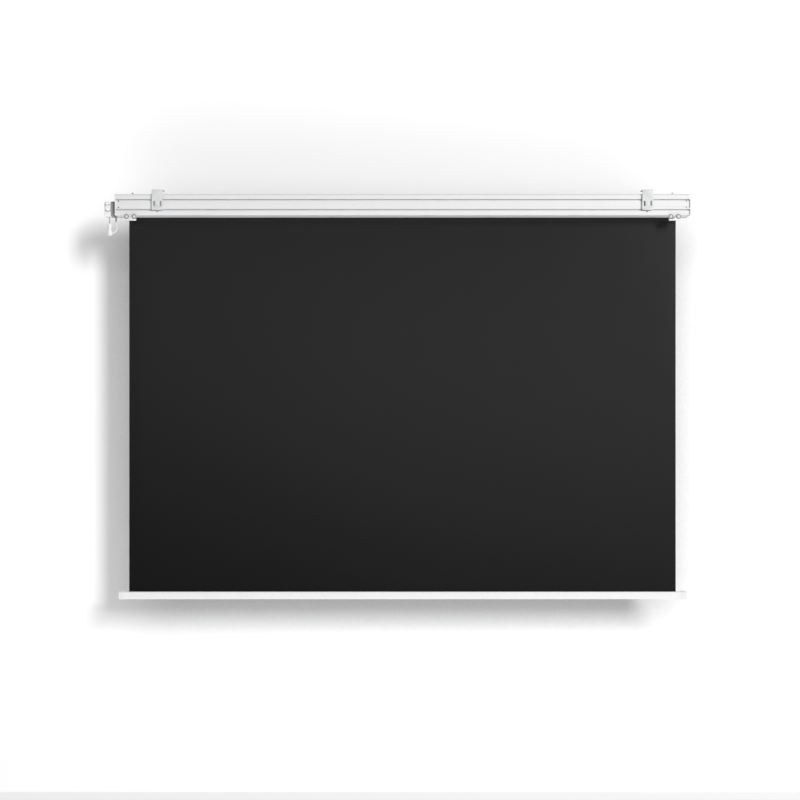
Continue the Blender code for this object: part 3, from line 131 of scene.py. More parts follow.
# Motor head
HEAD_CORNER_R = 8 * MM
HEAD_EDGE = 2 * MM
PANEL_RISE = 5.4 * MM
PANEL_SIDES = (2.9 * MM, 1 * MM)  # bare head to its left and right
PANEL_ENDS = (32.5 * MM, 0.8 * MM)  # from the head's top to its foot and to its top
PANEL_CORNER_R = 6 * MM
PANEL_EDGE = 2.2 * MM
PANEL_SLOPE = 8 * MM  # the panel's foot falls back over this height
PANEL_FALL = 2 * MM
TRENCH_BEFORE = (1.6 * MM, 4.2 * MM)  # trench to the panel's left and below it
TRENCH_PAST = (0.5 * MM, 0.4 * MM)  # to its right and above it
TRENCH_DEPTH = 8 * MM
SPOT = (0.9 * MM, 0.3 * MM)  # radius and depth of the shallow third spot
SPOT_DROP = 1.2 * MM  # below the panel's middle
FLANGE_CORNER_R = 10 * MM
FLANGE_EDGE = 0.6 * MM
FLANGE_GROOVE = 5 * MM
FLANGE_GROOVE_DEPTH = 3.5 * MM
FLANGE_RIM = 1.2 * MM
FLANGE_BORE_DEPTH = 20 * MM
ADJUSTER_R = 2.3 * MM
ADJUSTER_DEPTH = 8.1 * MM
ADJUSTER_EDGE = 0.2 * MM

# Brackets, clips and the clips' screws
FINE_EDGES = {"bracket": 0.35 * MM, "clamp_jaw": 0.25 * MM, "lower_clip": 0.4 * MM, "clamp_screw": 0.15 * MM}
FINE_CORNER = radians(28)  # edges sharper than this are rounded
KNOB_R = 5.3 * MM
KNOB_RISE = 3.1 * MM
KNOB_SHANK_R = 1.6 * MM
KNOB_DROP = 1.2 * MM
WASHER = 0.9 * MM
WASHER_FOOT = 0.3 * MM
WASHER_RIM = ((0.9 * MM, 0.1), (0.6 * MM, 1), (0.1 * MM, 1), (0, 0.8), (0, 0))  # inwards, share of height

# Leads below the head
LEAD_D = 4.7 * MM
THIN_LEAD_BOW = 0.12 * MM
THIN_LEAD_CLEAR = 0.13 * MM
GLAND_TAPER = 0.22
GLAND_RIB = 0.22 * MM
CONNECTOR_R = 7.3 * MM
CONNECTOR_EASE = 0.35 * MM
PLUG_NECK = ((0, 0), (0.45, 0), (0.58, 0.03), (0.62, 0.12), (0.72, 0.2), (0.92, 0.26), (1, 0.36))
GRIP_RINGS = (0.42, 0.55, 0.68)  # shares of the plug's length
GRIP_GROOVE = ((0, 1), (0.02, 0.93), (0.05, 0.93), (0.07, 1))  # further down, share of the radius
COLLAR_R = 8.3 * MM
COLLAR_LENGTH = 10.7 * MM
COLLAR_SHOULDER = 1.8 * MM
COLLAR_EASE = 0.6 * MM
RIDGE_DEPTH = 0.035
BOOT_R = 3.2 * MM
BOOT_RIB = 0.2 * MM
LOOP_ROUTE = (  # mm across and up from the gland's mouth
    (0, 0), (0.3, -4.5), (1.2, -9), (2.3, -13.4), (2.9, -18), (2.6, -22.6),
    (1.5, -27), (-0.6, -31), (-3.6, -34.4), (-7.4, -37.1), (-11.8, -39.2),
)

# Bottom bar
BAR_HEIGHT = 26.8 * MM
BAR_DEPTH = 15 * MM
BAR_CORNER_R = 4 * MM
BAR_PROFILE_R = 3.3 * MM
BAR_GROOVES = (7.5 * MM, 14.6 * MM)
BAR_GROOVE_DEPTH = 0.5 * MM
KEEPER_R = 3.4 * MM
KEEPER_DROP = 7.4 * MM
KEEPER_SLOT = 1.8 * MM
KEEPER_CLEAR = 0.8 * MM
ROD_R = 5.2 * MM
ROD_RISE = 7.4 * MM
ROD_CLEAR = 0.5 * MM
BAR_CAP_PLATE = 5 * MM
BAR_CAP_WALL = 0.9 * MM
BAR_CAP_TURN = 3 * MM  # the rounded outer edge's share of the cap's length
BAR_CAP_BORE = 6 * MM
BUMP_R = 4.4 * MM
BUMP_RISE = 2.1 * MM
BUMP_INSET = 12.5 * MM
BUMP_MARGIN = 1.6 * MM  # from the bar's front and back
BUMP_FADE = 0.5 * MM

# Finishes: darkest and lightest colour, least and most roughness, grain's size and depth in mm
COATS = {
    "white_coat": ((227, 227, 228), (231, 231, 232), (0.4, 0.5), 1.1, 0.012),
    "white_plastic": ((238, 238, 237), (242, 242, 241), (0.42, 0.52), 0.5, 0.01),
    "grey_coat": ((214, 215, 215), (219, 220, 220), (0.45, 0.55), 0.9, 0.015),
    "dark_plastic": ((152, 152, 155), (160, 160, 163), (0.5, 0.6), 0.4, 0.012),
    # the washers' dark grey is partly their own and partly painted shade round the knobs
    "washer": ((126, 126, 128), (136, 136, 138), (0.4, 0.55), 0.3, 0.008),
    # painted light: the bar's coat is the case's white made lighter, for the floor's light on the low bar
    "lit_bar_coat": ((243, 243, 243), (247, 247, 247), (0.4, 0.5), 1.1, 0.012),
    "cable": ((232, 232, 230), (238, 238, 236), (0.45, 0.55), 0.6, 0.01),
    "grey_cable": ((140, 141, 143), (152, 153, 155), (0.45, 0.55), 0.6, 0.01),
}
METALS = {
    "zinc": ((188, 190, 193), (206, 207, 209), (0.28, 0.45), 0.3, 0.004),
    "steel": ((166, 168, 171), (186, 188, 190), (0.22, 0.36), 0.5, 0.004),
    "aluminium": ((196, 198, 200), (210, 211, 213), (0.3, 0.42), 0.8, 0.005),
}
DRAWN_METALS = ("steel", "aluminium")
DRAWN_STRETCH = (0.02, 1, 1)

# Camera, backdrop and light
CAMERA_PLACE = (-0.0088, -4.924, -0.6932)
CAMERA_LENS = 62.83
SENSOR_WIDTH = 36
BACKDROP_Y = 0.3
BACKDROP_FOOT = -2.16
STAGE_REACH = 9  # to each side
STAGE_TOP = 7
STAGE_LOW = -4
STAGE_WHITES = {"backdrop": 0.98, "skirting": 0.82}
STAGE_GLOW = 0.1
SHADE_REACH = 0.3  # of the shade close behind the screen
SHADE_WAY = (0, -0.5, 0.866)
SHADE_POWER = 4
KEY_WAY = (0.472, -0.814, 0.338)
KEY_DISTANCE = 14.3
KEY_SIZE = (2.7, 4.4)  # width and height
KEY_POWER = 1345
SKY_LOW = 1.45  # light off the white floor in front
SKY_FALL = 10
SKY_HIGH = 0.24  # light from all round
SKY_BEHIND = 0.5
SHEEN_LEVEL = 0.517
SHEEN_WEIGHTS = (0.47, 1.218, -5.196, -2.421, -15.606)  # of u, v, u v, u u and v v
SHEEN_LEAST = 0.03
SHEEN_MOST = 0.6


def srgb(red, green, blue):
    """A display colour of 0 to 255 as the linear colour that a shader takes."""
    steps = [value / 255 for value in (red, green, blue)]
    return (*[s / 12.92 if s < 0.04045 else ((s + 0.055) / 1.055) ** 2.4 for s in steps], 1.0)


# Camera

def make_camera():
    """The photograph's view: level, straight at the screen's back."""
    data = bpy.data.cameras.new("photo_view")
    data.lens = CAMERA_LENS
    data.sensor_width = SENSOR_WIDTH
    data.clip_end = 100
    camera = bpy.data.objects.new("photo_view", data)
    bpy.context.scene.collection.objects.link(camera)
    camera.location = CAMERA_PLACE
    camera.rotation_euler = (radians(90), 0, 0)
    bpy.context.scene.camera = camera


# Surfaces

def box_of(node):
    """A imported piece's lowest corner, highest corner and middle."""
    low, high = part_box(node)
    return low, high, [(a + b) / 2 for a, b in zip(low, high)]


def grid_faces(rows, across):
    """Corner numbers of the quads between closed rings of points numbered ring by ring."""
    row, column = np.meshgrid(np.arange(rows - 1), np.arange(across), indexing="ij")
    beside = (column + 1) % across
    corners = (row * across + column, row * across + beside)
    corners += ((row + 1) * across + beside, (row + 1) * across + column)
    return np.stack(corners, axis=-1).reshape(-1, 4)


@contextmanager
def reworked(mesh):
    """A mesh open for work, written back at the end."""
    work = bmesh.new()
    work.from_mesh(mesh)
    yield work
    work.to_mesh(mesh)
    work.free()


def piece_of(name, parts, sharp=35):
    """A mesh object from parts of (points, faces), merged, with every shell's faces outward."""
    mesh = bpy.data.meshes.new(name)
    points, faces = [], []
    for part_points, part_faces in parts:
        faces += [[len(points) + corner for corner in face] for face in part_faces]
        points += part_points.tolist()
    mesh.from_pydata(points, [], faces)
    with reworked(mesh) as work:
        bmesh.ops.remove_doubles(work, verts=work.verts, dist=SAME_PLACE)
        bmesh.ops.recalc_face_normals(work, faces=work.faces)
    return shown(bpy.data.objects.new(name, mesh), sharp)


def shaded(mesh, sharp):
    """Smooth shading between a mesh's sharp edges."""
    mesh.shade_smooth()
    mesh.set_sharp_from_angle(angle=radians(sharp))


def shown(piece, sharp=35):
    """Links a piece and shades it."""
    bpy.context.scene.collection.objects.link(piece)
    shaded(piece.data, sharp)
    return piece


def unit(vectors):
    """Each vector divided by its own length."""
    lengths = np.linalg.norm(vectors, axis=-1, keepdims=True)
    return vectors / np.maximum(lengths, 1e-12)


def moved_in(outline, amount):
    """A counterclockwise outline moved in: each corner goes along the mean of its sides' normals."""
    before = unit(outline - np.roll(outline, 1, axis=0))
    after = unit(np.roll(outline, -1, axis=0) - outline)
    normal = np.stack([-before[:, 1] - after[:, 1], before[:, 0] + after[:, 0]], axis=1)
    return outline + amount * normal / (1 + (before * after).sum(axis=1, keepdims=True))


def arc(centre, radius, start, end, steps=8):
    """Points of a circle: centre + radius * (cos t, sin t), t from start to end in degrees."""
    turn = np.radians(np.linspace(start, end, steps + 1))
    return np.column_stack([centre[0] + radius * np.cos(turn), centre[1] + radius * np.sin(turn)])


def circle(radius, steps, centre):
    """A whole circle whose seam point is there once."""
    return arc(centre, radius, 0, 360, steps)[:-1]


def round_box(width, height, radius, centre, steps, side_steps):
    """A rectangle with round corners, counterclockwise, with side_steps stretches to each side."""
    right, top = width / 2 - radius, height / 2 - radius
    corners = ((right, top, 0), (-right, top, 90), (-right, -top, 180), (right, -top, 270))
    bows = [arc((centre[0] + x, centre[1] + y), radius, t, t + 90, steps) for x, y, t in corners]
    points = []
    for bow, following in zip(bows, bows[1:] + bows[:1]):
        part = np.arange(1, side_steps)[:, None] / side_steps
        points += [bow, bow[-1] + (following[0] - bow[-1]) * part]
    return np.concatenate(points)


def eased(points, radius, steps=3):
    """An open line with its corners eased: (1-t)^2 * in + 2t(1-t) * corner + t^2 * out, with in and
    out radius away."""
    points = np.asarray(points, float)
    before, after = np.roll(points, 1, axis=0) - points, np.roll(points, -1, axis=0) - points
    reach_in = np.minimum(radius, np.linalg.norm(before, axis=1, keepdims=True) / 2)
    reach_out = np.minimum(radius, np.linalg.norm(after, axis=1, keepdims=True) / 2)
    start, end = points + unit(before) * reach_in, points + unit(after) * reach_out
    t = np.linspace(0, 1, steps + 1)[:, None, None]
    curve = ((1 - t) ** 2 * start + 2 * t * (1 - t) * points + t**2 * end).transpose(1, 0, 2)
    curve[0], curve[-1] = points[0], points[-1]
    return curve.reshape(-1, 2)


def rounded_run(start, end, first_edge, last_edge, steps):
    """Stations of (place, inset) from start to end; an edge turns in on a quarter circle:
    place = edge * (1 - cos t), inset = edge * (1 - sin t)."""
    turn = np.linspace(0, pi / 2, steps + 1)
    way = 1 if end > start else -1
    rows = []
    for place, edge, inward in ((start, first_edge, way), (end, last_edge, -way)):
        bow = np.column_stack([place + inward * edge * (1 - np.cos(turn)), edge * (1 - np.sin(turn))])
        bow = bow if edge else np.array([[place, 0.0]])
        rows.append(bow if inward == way else bow[::-1])
    return np.concatenate(rows)


def laid(outline, place):
    """Outline points in Y and Z set at a place along X."""
    return np.column_stack([np.full(len(outline), place), outline])


def section(outlines, stations):
    """A section with its holes carried along X: each station moves the outer outline in by its inset."""
    outer, *holes = outlines
    loops = [[laid(moved_in(outer, inset), place) for place, inset in stations]]
    loops += [[laid(hole, place) for place, _ in stations] for hole in holes]
    parts = [(np.concatenate(rings), grid_faces(len(rings), len(rings[0]))) for rings in loops]
    for end in (0, -1):
        faces = tessellate_polygon([[Vector(p) for p in rings[end]] for rings in loops])
        parts.append((np.concatenate([rings[end] for rings in loops]), faces))
    return parts


def ring_skin(rings):
    """A skin through closed rings whose first and last ring have no width, or are left open."""
    rings = np.asarray(rings)
    return [(rings.reshape(-1, 3), grid_faces(len(rings), rings.shape[1]))]


def axes_of(heading):
    """A heading as an axis of length one, and two directions across it."""
    axis = unit(np.array(heading, float))
    side = unit(np.cross(axis, (0.3, 0.2, 1.0) if abs(axis[2]) < 0.9 else (1.0, 0.0, 0.0)))
    return axis, side, np.cross(axis, side)


def spokes(steps, side, other):
    """Directions round an axis: cos t * side + sin t * other."""
    turn = np.linspace(0, 2 * pi, steps, endpoint=False)[None, :, None]
    return np.cos(turn) * side + np.sin(turn) * other


def turned(profile, place, heading, steps=48):
    """A profile of radius and height turned about an axis: place + height * axis + radius * spoke."""
    axis, side, other = axes_of(heading)
    radius, height = np.asarray(profile, float).T[:, :, None, None]
    return np.asarray(place) + height * axis + radius * spokes(steps, side, other)


def turned_piece(name, node, profile, place, heading=UP, steps=48, sharp=35):
    """A turned piece that stands for a node."""
    return stands_for(piece_of(name, ring_skin(turned(profile, place, heading, steps)), sharp), node)


def tube_rings(path, radius, steps=24):
    """Circles about a path, path + radius * spoke, closed to points at both ends."""
    path = np.asarray(path, float)
    way = unit(np.gradient(path, axis=0))
    side = unit(np.cross(way, (0.0, 1.0, 0.0)))
    rings = path[:, None] + radius * spokes(steps, side[:, None], np.cross(way, side)[:, None])
    ends = [np.repeat(path[[i]], steps, axis=0)[None] for i in (0, -1)]
    return np.concatenate([ends[0], rings, ends[1]])


def carved(piece, cutters, sharp=35):
    """Cuts solids out of a piece and keeps the result as its mesh."""
    for number, cutter in enumerate(cutters):
        change = piece.modifiers.new(f"cut_{number}", "BOOLEAN")
        change.operation = "DIFFERENCE"
        change.solver = "EXACT"
        change.object = cutter
    bpy.context.view_layer.update()
    graph = bpy.context.evaluated_depsgraph_get()
    mesh = bpy.data.meshes.new_from_object(piece.evaluated_get(graph))
    piece.modifiers.clear()
    piece.data = mesh
    for cutter in cutters:
        bpy.data.objects.remove(cutter, do_unlink=True)
    shaded(mesh, sharp)
    return piece


def plug_tool(place, heading, radius, length, steps=48):
    """A round cutter from a mouth inwards: it starts just outside the mouth."""
    profile = [(0, length), (radius, length), (radius, -length), (0, -length)]
    return piece_of("cutter", ring_skin(turned(profile, place, heading, steps)))


def screw_tools(place, side, depth):
    """Cutters for a screw's recess and bore in a cap's outer face."""
    heading = (side, 0, 0)
    return [plug_tool(place, heading, *RECESS), plug_tool(place, heading, RECESS_BORE_R, depth, 24)]


def refined(node, width):
    """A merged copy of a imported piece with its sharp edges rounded."""
    mesh = frame["nodes"][node].data.copy()
    with reworked(mesh) as work:
        bmesh.ops.remove_doubles(work, verts=work.verts, dist=10 * SAME_PLACE)
        bmesh.ops.dissolve_limit(work, angle_limit=radians(1), verts=work.verts, edges=work.edges)
        edges = [e for e in work.edges if len(e.link_faces) == 2 and e.calc_face_angle(0) > FINE_CORNER]
        bmesh.ops.bevel(work, geom=edges, offset=width, segments=2, profile=0.5, affect="EDGES")
        bmesh.ops.recalc_face_normals(work, faces=work.faces)
    mesh.materials.clear()
    return shown(bpy.data.objects.new(f"{node}_fine", mesh))


def stands_for(piece, node):
    """The piece takes the node's place: it rides on its body and has its finish."""
    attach(piece, BODY_OF[node])
    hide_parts(node)
    piece.data.materials.clear()
    piece.data.materials.append(FINISHES[SLOT_OF[node]])
    return piece


def face_vectors(mesh, label):
    """Every face's center or normal."""
    values = np.zeros(3 * len(mesh.polygons))
    mesh.polygons.foreach_get(label, values)
    return values.reshape(-1, 3)


def second_finish(mesh, material, chosen):
    """The chosen faces of a mesh get another finish."""
    mesh.materials.append(material)
    mesh.polygons.foreach_set("material_index", chosen.astype(np.int32))


# Finishes

def feed(tree, socket, value):
    """Links an input to an output, or sets it to a constant."""
    if isinstance(value, bpy.types.NodeSocket):
        tree.links.new(value, socket)
    else:
        socket.default_value = value


def new_node(tree, kind, **values):
    """A shader node with its inputs fed by name."""
    node = tree.nodes.new(f"ShaderNode{kind}")
    for label, value in values.items():
        feed(tree, node.inputs[label.replace("_", " ")], value)
    return node


def fed_in_order(tree, kind, *values):
    """A shader node with its inputs fed in their order; returns its first output."""
    node = tree.nodes.new(f"ShaderNode{kind}")
    for socket, value in zip(node.inputs, values):
        feed(tree, socket, value)
    return node.outputs[0]


def math_node(tree, operation, *values):
    """A math node fed by outputs or numbers; more than two are taken one after the other."""
    if len(values) > 2:
        values = (math_node(tree, operation, *values[:-1]), values[-1])
    result = fed_in_order(tree, "Math", *values)
    result.node.operation = operation
    return result


def new_group(name, measure):
    """An empty node group: a place and one measure go in, a height and a tone come out."""
    group = bpy.data.node_groups.new(name, "ShaderNodeTree")
    for label, kind in (("Place", "Vector"), (measure, "Float")):
        group.interface.new_socket(label, in_out="INPUT", socket_type=f"NodeSocket{kind}")
    for label in ("Height", "Tone"):
        group.interface.new_socket(label, in_out="OUTPUT", socket_type="NodeSocketFloat")
    return group, group.nodes.new("NodeGroupInput").outputs, group.nodes.new("NodeGroupOutput").inputs


def noise(tree, place, scale, detail=2.0):
    """A noise texture's level at a place."""
    return new_node(tree, "TexNoise", Vector=place, Scale=scale, Detail=detail).outputs["Fac"]


def make_grain_group():
    """Fine grain: a close noise for the height, and a wide one for tone."""
    group, given, result = new_group("fine_grain", "Size")
    close = math_node(group, "DIVIDE", 1.0, given["Size"])
    wide = math_node(group, "DIVIDE", close, 60.0)
    feed(group, result["Height"], noise(group, given["Place"], close))
    feed(group, result["Tone"], noise(group, given["Place"], wide, 4.0))
    return group


def make_weave_group():
    """Plain weave: height = 0.5 + 0.5 * sin(pi u / pitch) * sin(pi v / pitch), with uneven threads."""
    group, given, result = new_group("plain_weave", "Pitch")
    calc = partial(math_node, group)
    split = new_node(group, "SeparateXYZ", Vector=given["Place"]).outputs
    rate = calc("DIVIDE", pi, given["Pitch"])
    waves = [calc("SINE", calc("MULTIPLY", split[i], rate)) for i in (0, 1)]
    feed(group, result["Height"], calc("ADD", calc("MULTIPLY", *waves, 0.5), 0.5))
    slow = calc("DIVIDE", 0.004, given["Pitch"])
    feed(group, result["Tone"], noise(group, given["Place"], slow, 3.0))
    return group


def add_group(tree, group, place, **values):
    """A group node with its place and its other input fed; returns its outputs."""
    node = tree.nodes.new("ShaderNodeGroup")
    node.node_tree = group
    for label, value in {"Place": place, **values}.items():
        feed(tree, node.inputs[label], value)
    return node.outputs


def blend_colour(tree, factor, first, second):
    """Two colours mixed by a mask; returns the colour."""
    node = tree.nodes.new("ShaderNodeMix")
    node.data_type = "RGBA"
    for number, value in ((0, factor), (6, first), (7, second)):
        feed(tree, node.inputs[number], value)
    return node.outputs[2]


def spread(tree, factor, low, high):
    """A mask from 0 to 1 spread over another range."""
    return new_node(tree, "MapRange", Value=factor, To_Min=low, To_Max=high).outputs["Result"]


def new_finish(name, coordinates="Object", **settings):
    """A material with a Principled shader; settings are constants on its sockets."""
    material = bpy.data.materials.new(name)
    material.use_nodes = True
    tree = material.node_tree
    shader = tree.nodes["Principled BSDF"]
    for label, value in settings.items():
        shader.inputs[label.replace("_", " ")].default_value = value
    return material, tree, shader, new_node(tree, "TexCoord").outputs[coordinates]


def dress(tree, shader, colour, rough, height, depth):
    """Feeds a shader its colour, its roughness and a bump of a real depth in metres."""
    bump = new_node(tree, "Bump", Strength=1.0, Distance=depth, Height=height)
    feed(tree, shader.inputs["Base Color"], colour)
    feed(tree, shader.inputs["Roughness"], rough)
    feed(tree, shader.inputs["Normal"], bump.outputs["Normal"])


def grained(slot, dark, light, rough, size, depth, drawn=False, **settings):
    """A finish whose colour and roughness drift a little, with a fine grain. On a drawn metal the
    grain is stretched to lines along X, which its roughness follows."""
    material, tree, shader, place = new_finish(slot, **settings)
    if drawn:
        place = new_node(tree, "Mapping", Vector=place, Scale=DRAWN_STRETCH).outputs["Vector"]
    grain = add_group(tree, GRAIN, place, Size=size * MM)
    colour = blend_colour(tree, grain["Tone"], srgb(*dark), srgb(*light))
    uneven = spread(tree, grain["Height" if drawn else "Tone"], *rough)
    dress(tree, shader, colour, uneven, grain["Height"], depth * MM)
    return material


def make_backing():
    """The fabric's black coated back: a faint plain weave under a satin coat."""
    material, tree, shader, place = new_finish("black_backing", "UV", Specular_IOR_Level=0.5)
    weave = add_group(tree, WEAVE, place, Pitch=WEAVE_PITCH)
    colour = blend_colour(tree, weave["Tone"], srgb(20.5, 20.5, 22), srgb(23, 23, 25))
    dress(tree, shader, colour, spread(tree, weave["Tone"], 0.18, 0.2), weave["Height"], 0.01 * MM)
    return material


def make_picture_side(width, length):
    """The audience's side: matt white inside a printed black border.
    The mask is the distance to the nearest border line, over BORDER_SOFT."""
    material, tree, shader, place = new_finish("picture_side", "UV", Specular_IOR_Level=0.3)
    calc = partial(math_node, tree)
    weave = add_group(tree, WEAVE, place, Pitch=WEAVE_PITCH)
    split = new_node(tree, "SeparateXYZ", Vector=place).outputs
    reach = calc(
        "MINIMUM",
        calc("SUBTRACT", split[0], BORDER_SIDE),
        calc("SUBTRACT", width - BORDER_SIDE, split[0]),
        calc("SUBTRACT", split[1], BORDER_TOP),
        calc("SUBTRACT", length - BORDER_FOOT, split[1]),
    )
    steep = calc("MULTIPLY", reach, 1 / BORDER_SOFT)
    mask = calc("MINIMUM", calc("MAXIMUM", steep, 0.0), 1.0)
    white = blend_colour(tree, weave["Tone"], srgb(236, 237, 238), srgb(240, 241, 242))
    colour = blend_colour(tree, mask, srgb(22, 22, 24), white)
    dress(tree, shader, colour, spread(tree, weave["Tone"], 0.78, 0.86), weave["Height"], 0.012 * MM)
    return material


def make_finishes():
    """Every finish by its slot, the washers' and the bar's among them; the washers' grey is partly painted
    shade and the bar's lighter white is painted light.
    """
    finishes = {slot: grained(slot, *row) for slot, row in COATS.items()}
    for slot, row in METALS.items():
        finishes[slot] = grained(slot, *row, drawn=slot in DRAWN_METALS, Metallic=1.0)
    finishes["fabric"] = make_backing()
    return finishes


# Case

def rail_heights():
    """The lip's edge, the band's edge and the undercut's end, for the upper and for the lower rail."""
    high_edge = CASE_TOP - RAIL_UPPER + RAIL_MOUTH / 2
    low_edge = CASE_TOP - RAIL_LOWER - RAIL_MOUTH / 2
    upper = [high_edge + way for way in (*UPPER_MOUTH, RAIL_UNDERCUT)]
    lower = [low_edge + way for way in (*LOWER_MOUTH, -RAIL_UNDERCUT)]
    return upper, lower


def groove(heights, band):
    """A rail's groove from its lip to the band, undercut away from the band."""
    lip_edge, band_edge, deep = heights
    lip = WALL_Y + CASE_WALL
    room = lip + RAIL_ROOM
    mouth = [(WALL_Y, lip_edge), (lip, lip_edge), (lip, deep)]
    return np.array([*mouth, (room, deep), (room, band_edge), (band, band_edge)])


def case_outer():
    """The case's outside in Y and Z, from the slot's back edge round to its front edge, clockwise."""
    rise = arc((WALL_Y + CASE_BACK_LOW_R, CASE_LOW + CASE_BACK_LOW_R), CASE_BACK_LOW_R, 270, 180)
    top = arc((WALL_Y + CASE_BACK_TOP_R, CASE_TOP - CASE_BACK_TOP_R), CASE_BACK_TOP_R, 180, 90, 14)
    front_top = (FRONT_Y - CASE_FRONT_TOP_R, CASE_TOP - CASE_FRONT_TOP_R)
    front_low = (FRONT_Y - CASE_FRONT_LOW_R, CASE_LOW + CASE_FRONT_LOW_R)
    front = [arc(front_top, CASE_FRONT_TOP_R, 90, 0, 16), arc(front_low, CASE_FRONT_LOW_R, 0, -90, 12)]
    return rise, top, np.concatenate(front)


def port_centres():
    """The screw ports at the front top, back top and back low corners."""
    inner = CASE_WALL + PORT_INSET
    front_top = (FRONT_Y - inner - CASE_FRONT_TOP_R / 4, CASE_TOP - inner - CASE_FRONT_TOP_R / 4)
    return front_top, (WALL_Y + inner, CASE_TOP - inner), (WALL_Y + inner, CASE_LOW + inner)


def case_inner(band):
    """The case's inside from the slot's front edge round to its back edge, counterclockwise."""
    top, low = CASE_TOP - CASE_WALL, CASE_LOW + CASE_WALL
    front, back = FRONT_Y - CASE_WALL, WALL_Y + CASE_WALL
    rail = back + RAIL_ROOM + CASE_WALL
    behind = band + CASE_WALL
    front_top, back_top, back_low = port_centres()
    port_r = PORT_BORE_R + PORT_WALL
    swing = degrees(acos(PORT_INSET / port_r))
    upper, lower = rail_heights()
    ends = (upper[2] + CASE_WALL, upper[1] - CASE_WALL, lower[1] + CASE_WALL, lower[2] - CASE_WALL)
    depths = ((back, rail), (rail, behind), (behind, rail), (rail, back))
    rails = [(y, z) for z, pair in zip(ends, depths) for y in pair]
    corner = (FRONT_Y - CASE_FRONT_LOW_R, CASE_LOW + CASE_FRONT_LOW_R)
    return np.concatenate(
        [
            arc(corner, CASE_FRONT_LOW_R - CASE_WALL, -90, 0),
            [(front, CASE_TOP - CASE_FRONT_TOP_R)],
            arc(front_top, port_r, 315, 135, 14),
            [(FRONT_Y - CASE_FRONT_TOP_R, top)],
            arc(back_top, port_r, 90 - swing, -180 + swing, 14),
            rails,
            arc(back_low, port_r, 180 - swing, -90 + swing, 14),
            [(FABRIC_Y - SLOT_BACK, low)],
        ]
    )


def make_case():
    """The extruded case: lips eased, and a flute along the band between the rails,
    FLUTE_DEPTH * (1 - s^2) deep, s from -1 to 1 over its height."""
    band = WALL_Y + BAND_SETBACK
    upper, lower = (groove(heights, band) for heights in rail_heights())
    part = np.linspace(-1, 1, 21)
    height = lower[-1, 1] + FLUTE_RISE + FLUTE_HEIGHT * (part + 1) / 2
    flute = np.column_stack([band + FLUTE_DEPTH * (1 - part**2), height])
    rise, top, front = case_outer()
    slot = [(FABRIC_Y + SLOT_FRONT, CASE_LOW), (FABRIC_Y + SLOT_FRONT, CASE_LOW + CASE_WALL)]
    start = [(FABRIC_Y - SLOT_BACK, CASE_LOW)]
    back = eased(np.concatenate([lower, flute, upper[::-1]]), LIP_EASE)
    outline = np.concatenate([start, rise, back, top, front, slot, case_inner(band + FLUTE_DEPTH)])[::-1]
    low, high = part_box("case_shell")
    bores = [circle(PORT_BORE_R, 24, centre) for centre in port_centres()]
    shell = section([outline, *bores], [(low.x, 0), (high.x, 0)])
    stands_for(piece_of("case_body", shell), "case_shell")


def make_end_caps():
    """Flat end caps with rounded outer edges, screw recesses and the motor's bore."""
    outline = np.concatenate(case_outer())[::-1]
    for word, side in SIDES.items():
        low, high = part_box(f"end_cap_{word}")
        inner, outer = sorted((low.x, high.x), key=abs)
        stations = rounded_run(inner, outer, CAP_INNER_EDGE, CAP_EDGE, 6)
        cap = piece_of(f"end_plate_{word}", section([outline], stations))
        tools = []
        for y, z in port_centres():
            tools += screw_tools((outer, y, z), side, CAP_BORE_DEPTH)
        if word == "left":
            mouth = (outer, ROLLER_Y, ROLLER_Z)
            tools.append(plug_tool(mouth, (side, 0, 0), MOTOR_R + GAP, CAP_BORE_DEPTH, 64))
        stands_for(carved(cap, tools), f"end_cap_{word}")
        # the right cap gets painted shade on its lower part
        if word == "right":
            shade_painted_on_cap(cap)


def shade_painted_on_cap(cap):
    """Painted shade on the right cap: grey from the upper rail down, but for a white line level with the
    lower lip, where the lip catches the light.
    """
    start, line_top, line_foot = (CASE_TOP - drop for drop in (CAP_SHADE_FROM, *CAP_LIT_LINE))
    with reworked(cap.data) as work:
        for height in (start, line_top, line_foot):
            cut = [*work.verts, *work.edges, *work.faces]
            bmesh.ops.bisect_plane(work, geom=cut, plane_co=(0, 0, height), plane_no=UP, dist=SAME_PLACE)
    height = face_vectors(cap.data, "center")[:, 2]
    line = (height > line_foot) & (height < line_top)
    # the flange's grey stands for painted shade here
    second_finish(cap.data, FINISHES["dark_plastic"], (height < start) & ~line)


# Screws

def cross_screw(name, node, heading, head_r, head, shank_r):
    """A pan-head screw, its dome head * (1 - DOME_FALL (r/R)^3) high, with a cross sunk into it where
    one of |a| and |b| is under CROSS_WIDTH and the other under CROSS_REACH."""
    low, high = (np.array(corner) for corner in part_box(node))
    axis, across, other = axes_of(heading)
    reach = (np.abs(axis) * (high - low)).sum()
    seat = (low + high) / 2 + axis * (reach / 2 - head)
    radius = head_r * np.linspace(0, 0.94, 22)
    dome = np.column_stack([radius, head * (1 - DOME_FALL * (radius / head_r) ** 3)])
    side = [(head_r, head * 0.36), (head_r, HEAD_RIM), (head_r - HEAD_RIM, 0), (shank_r, 0)]
    shank = [(shank_r, shank_r - (reach - head)), (0.4 * shank_r, head - reach), (0, head - reach)]
    rings = turned(np.concatenate([dome, side, shank]), seat, heading)
    top = rings[: len(dome)] - seat
    one, two = np.abs(top @ across), np.abs(top @ other)
    width, length, soft = (share * head_r for share in (CROSS_WIDTH, CROSS_REACH, CROSS_SOFT))
    arm = np.clip((width + soft - np.minimum(one, two)) / soft, 0, 1)
    arm *= np.clip((length + soft - np.maximum(one, two)) / soft, 0, 1)
    rings[: len(dome)] -= (CROSS_DEPTH * head * arm)[..., None] * axis
    stands_for(piece_of(name, ring_skin(rings), 50), node)


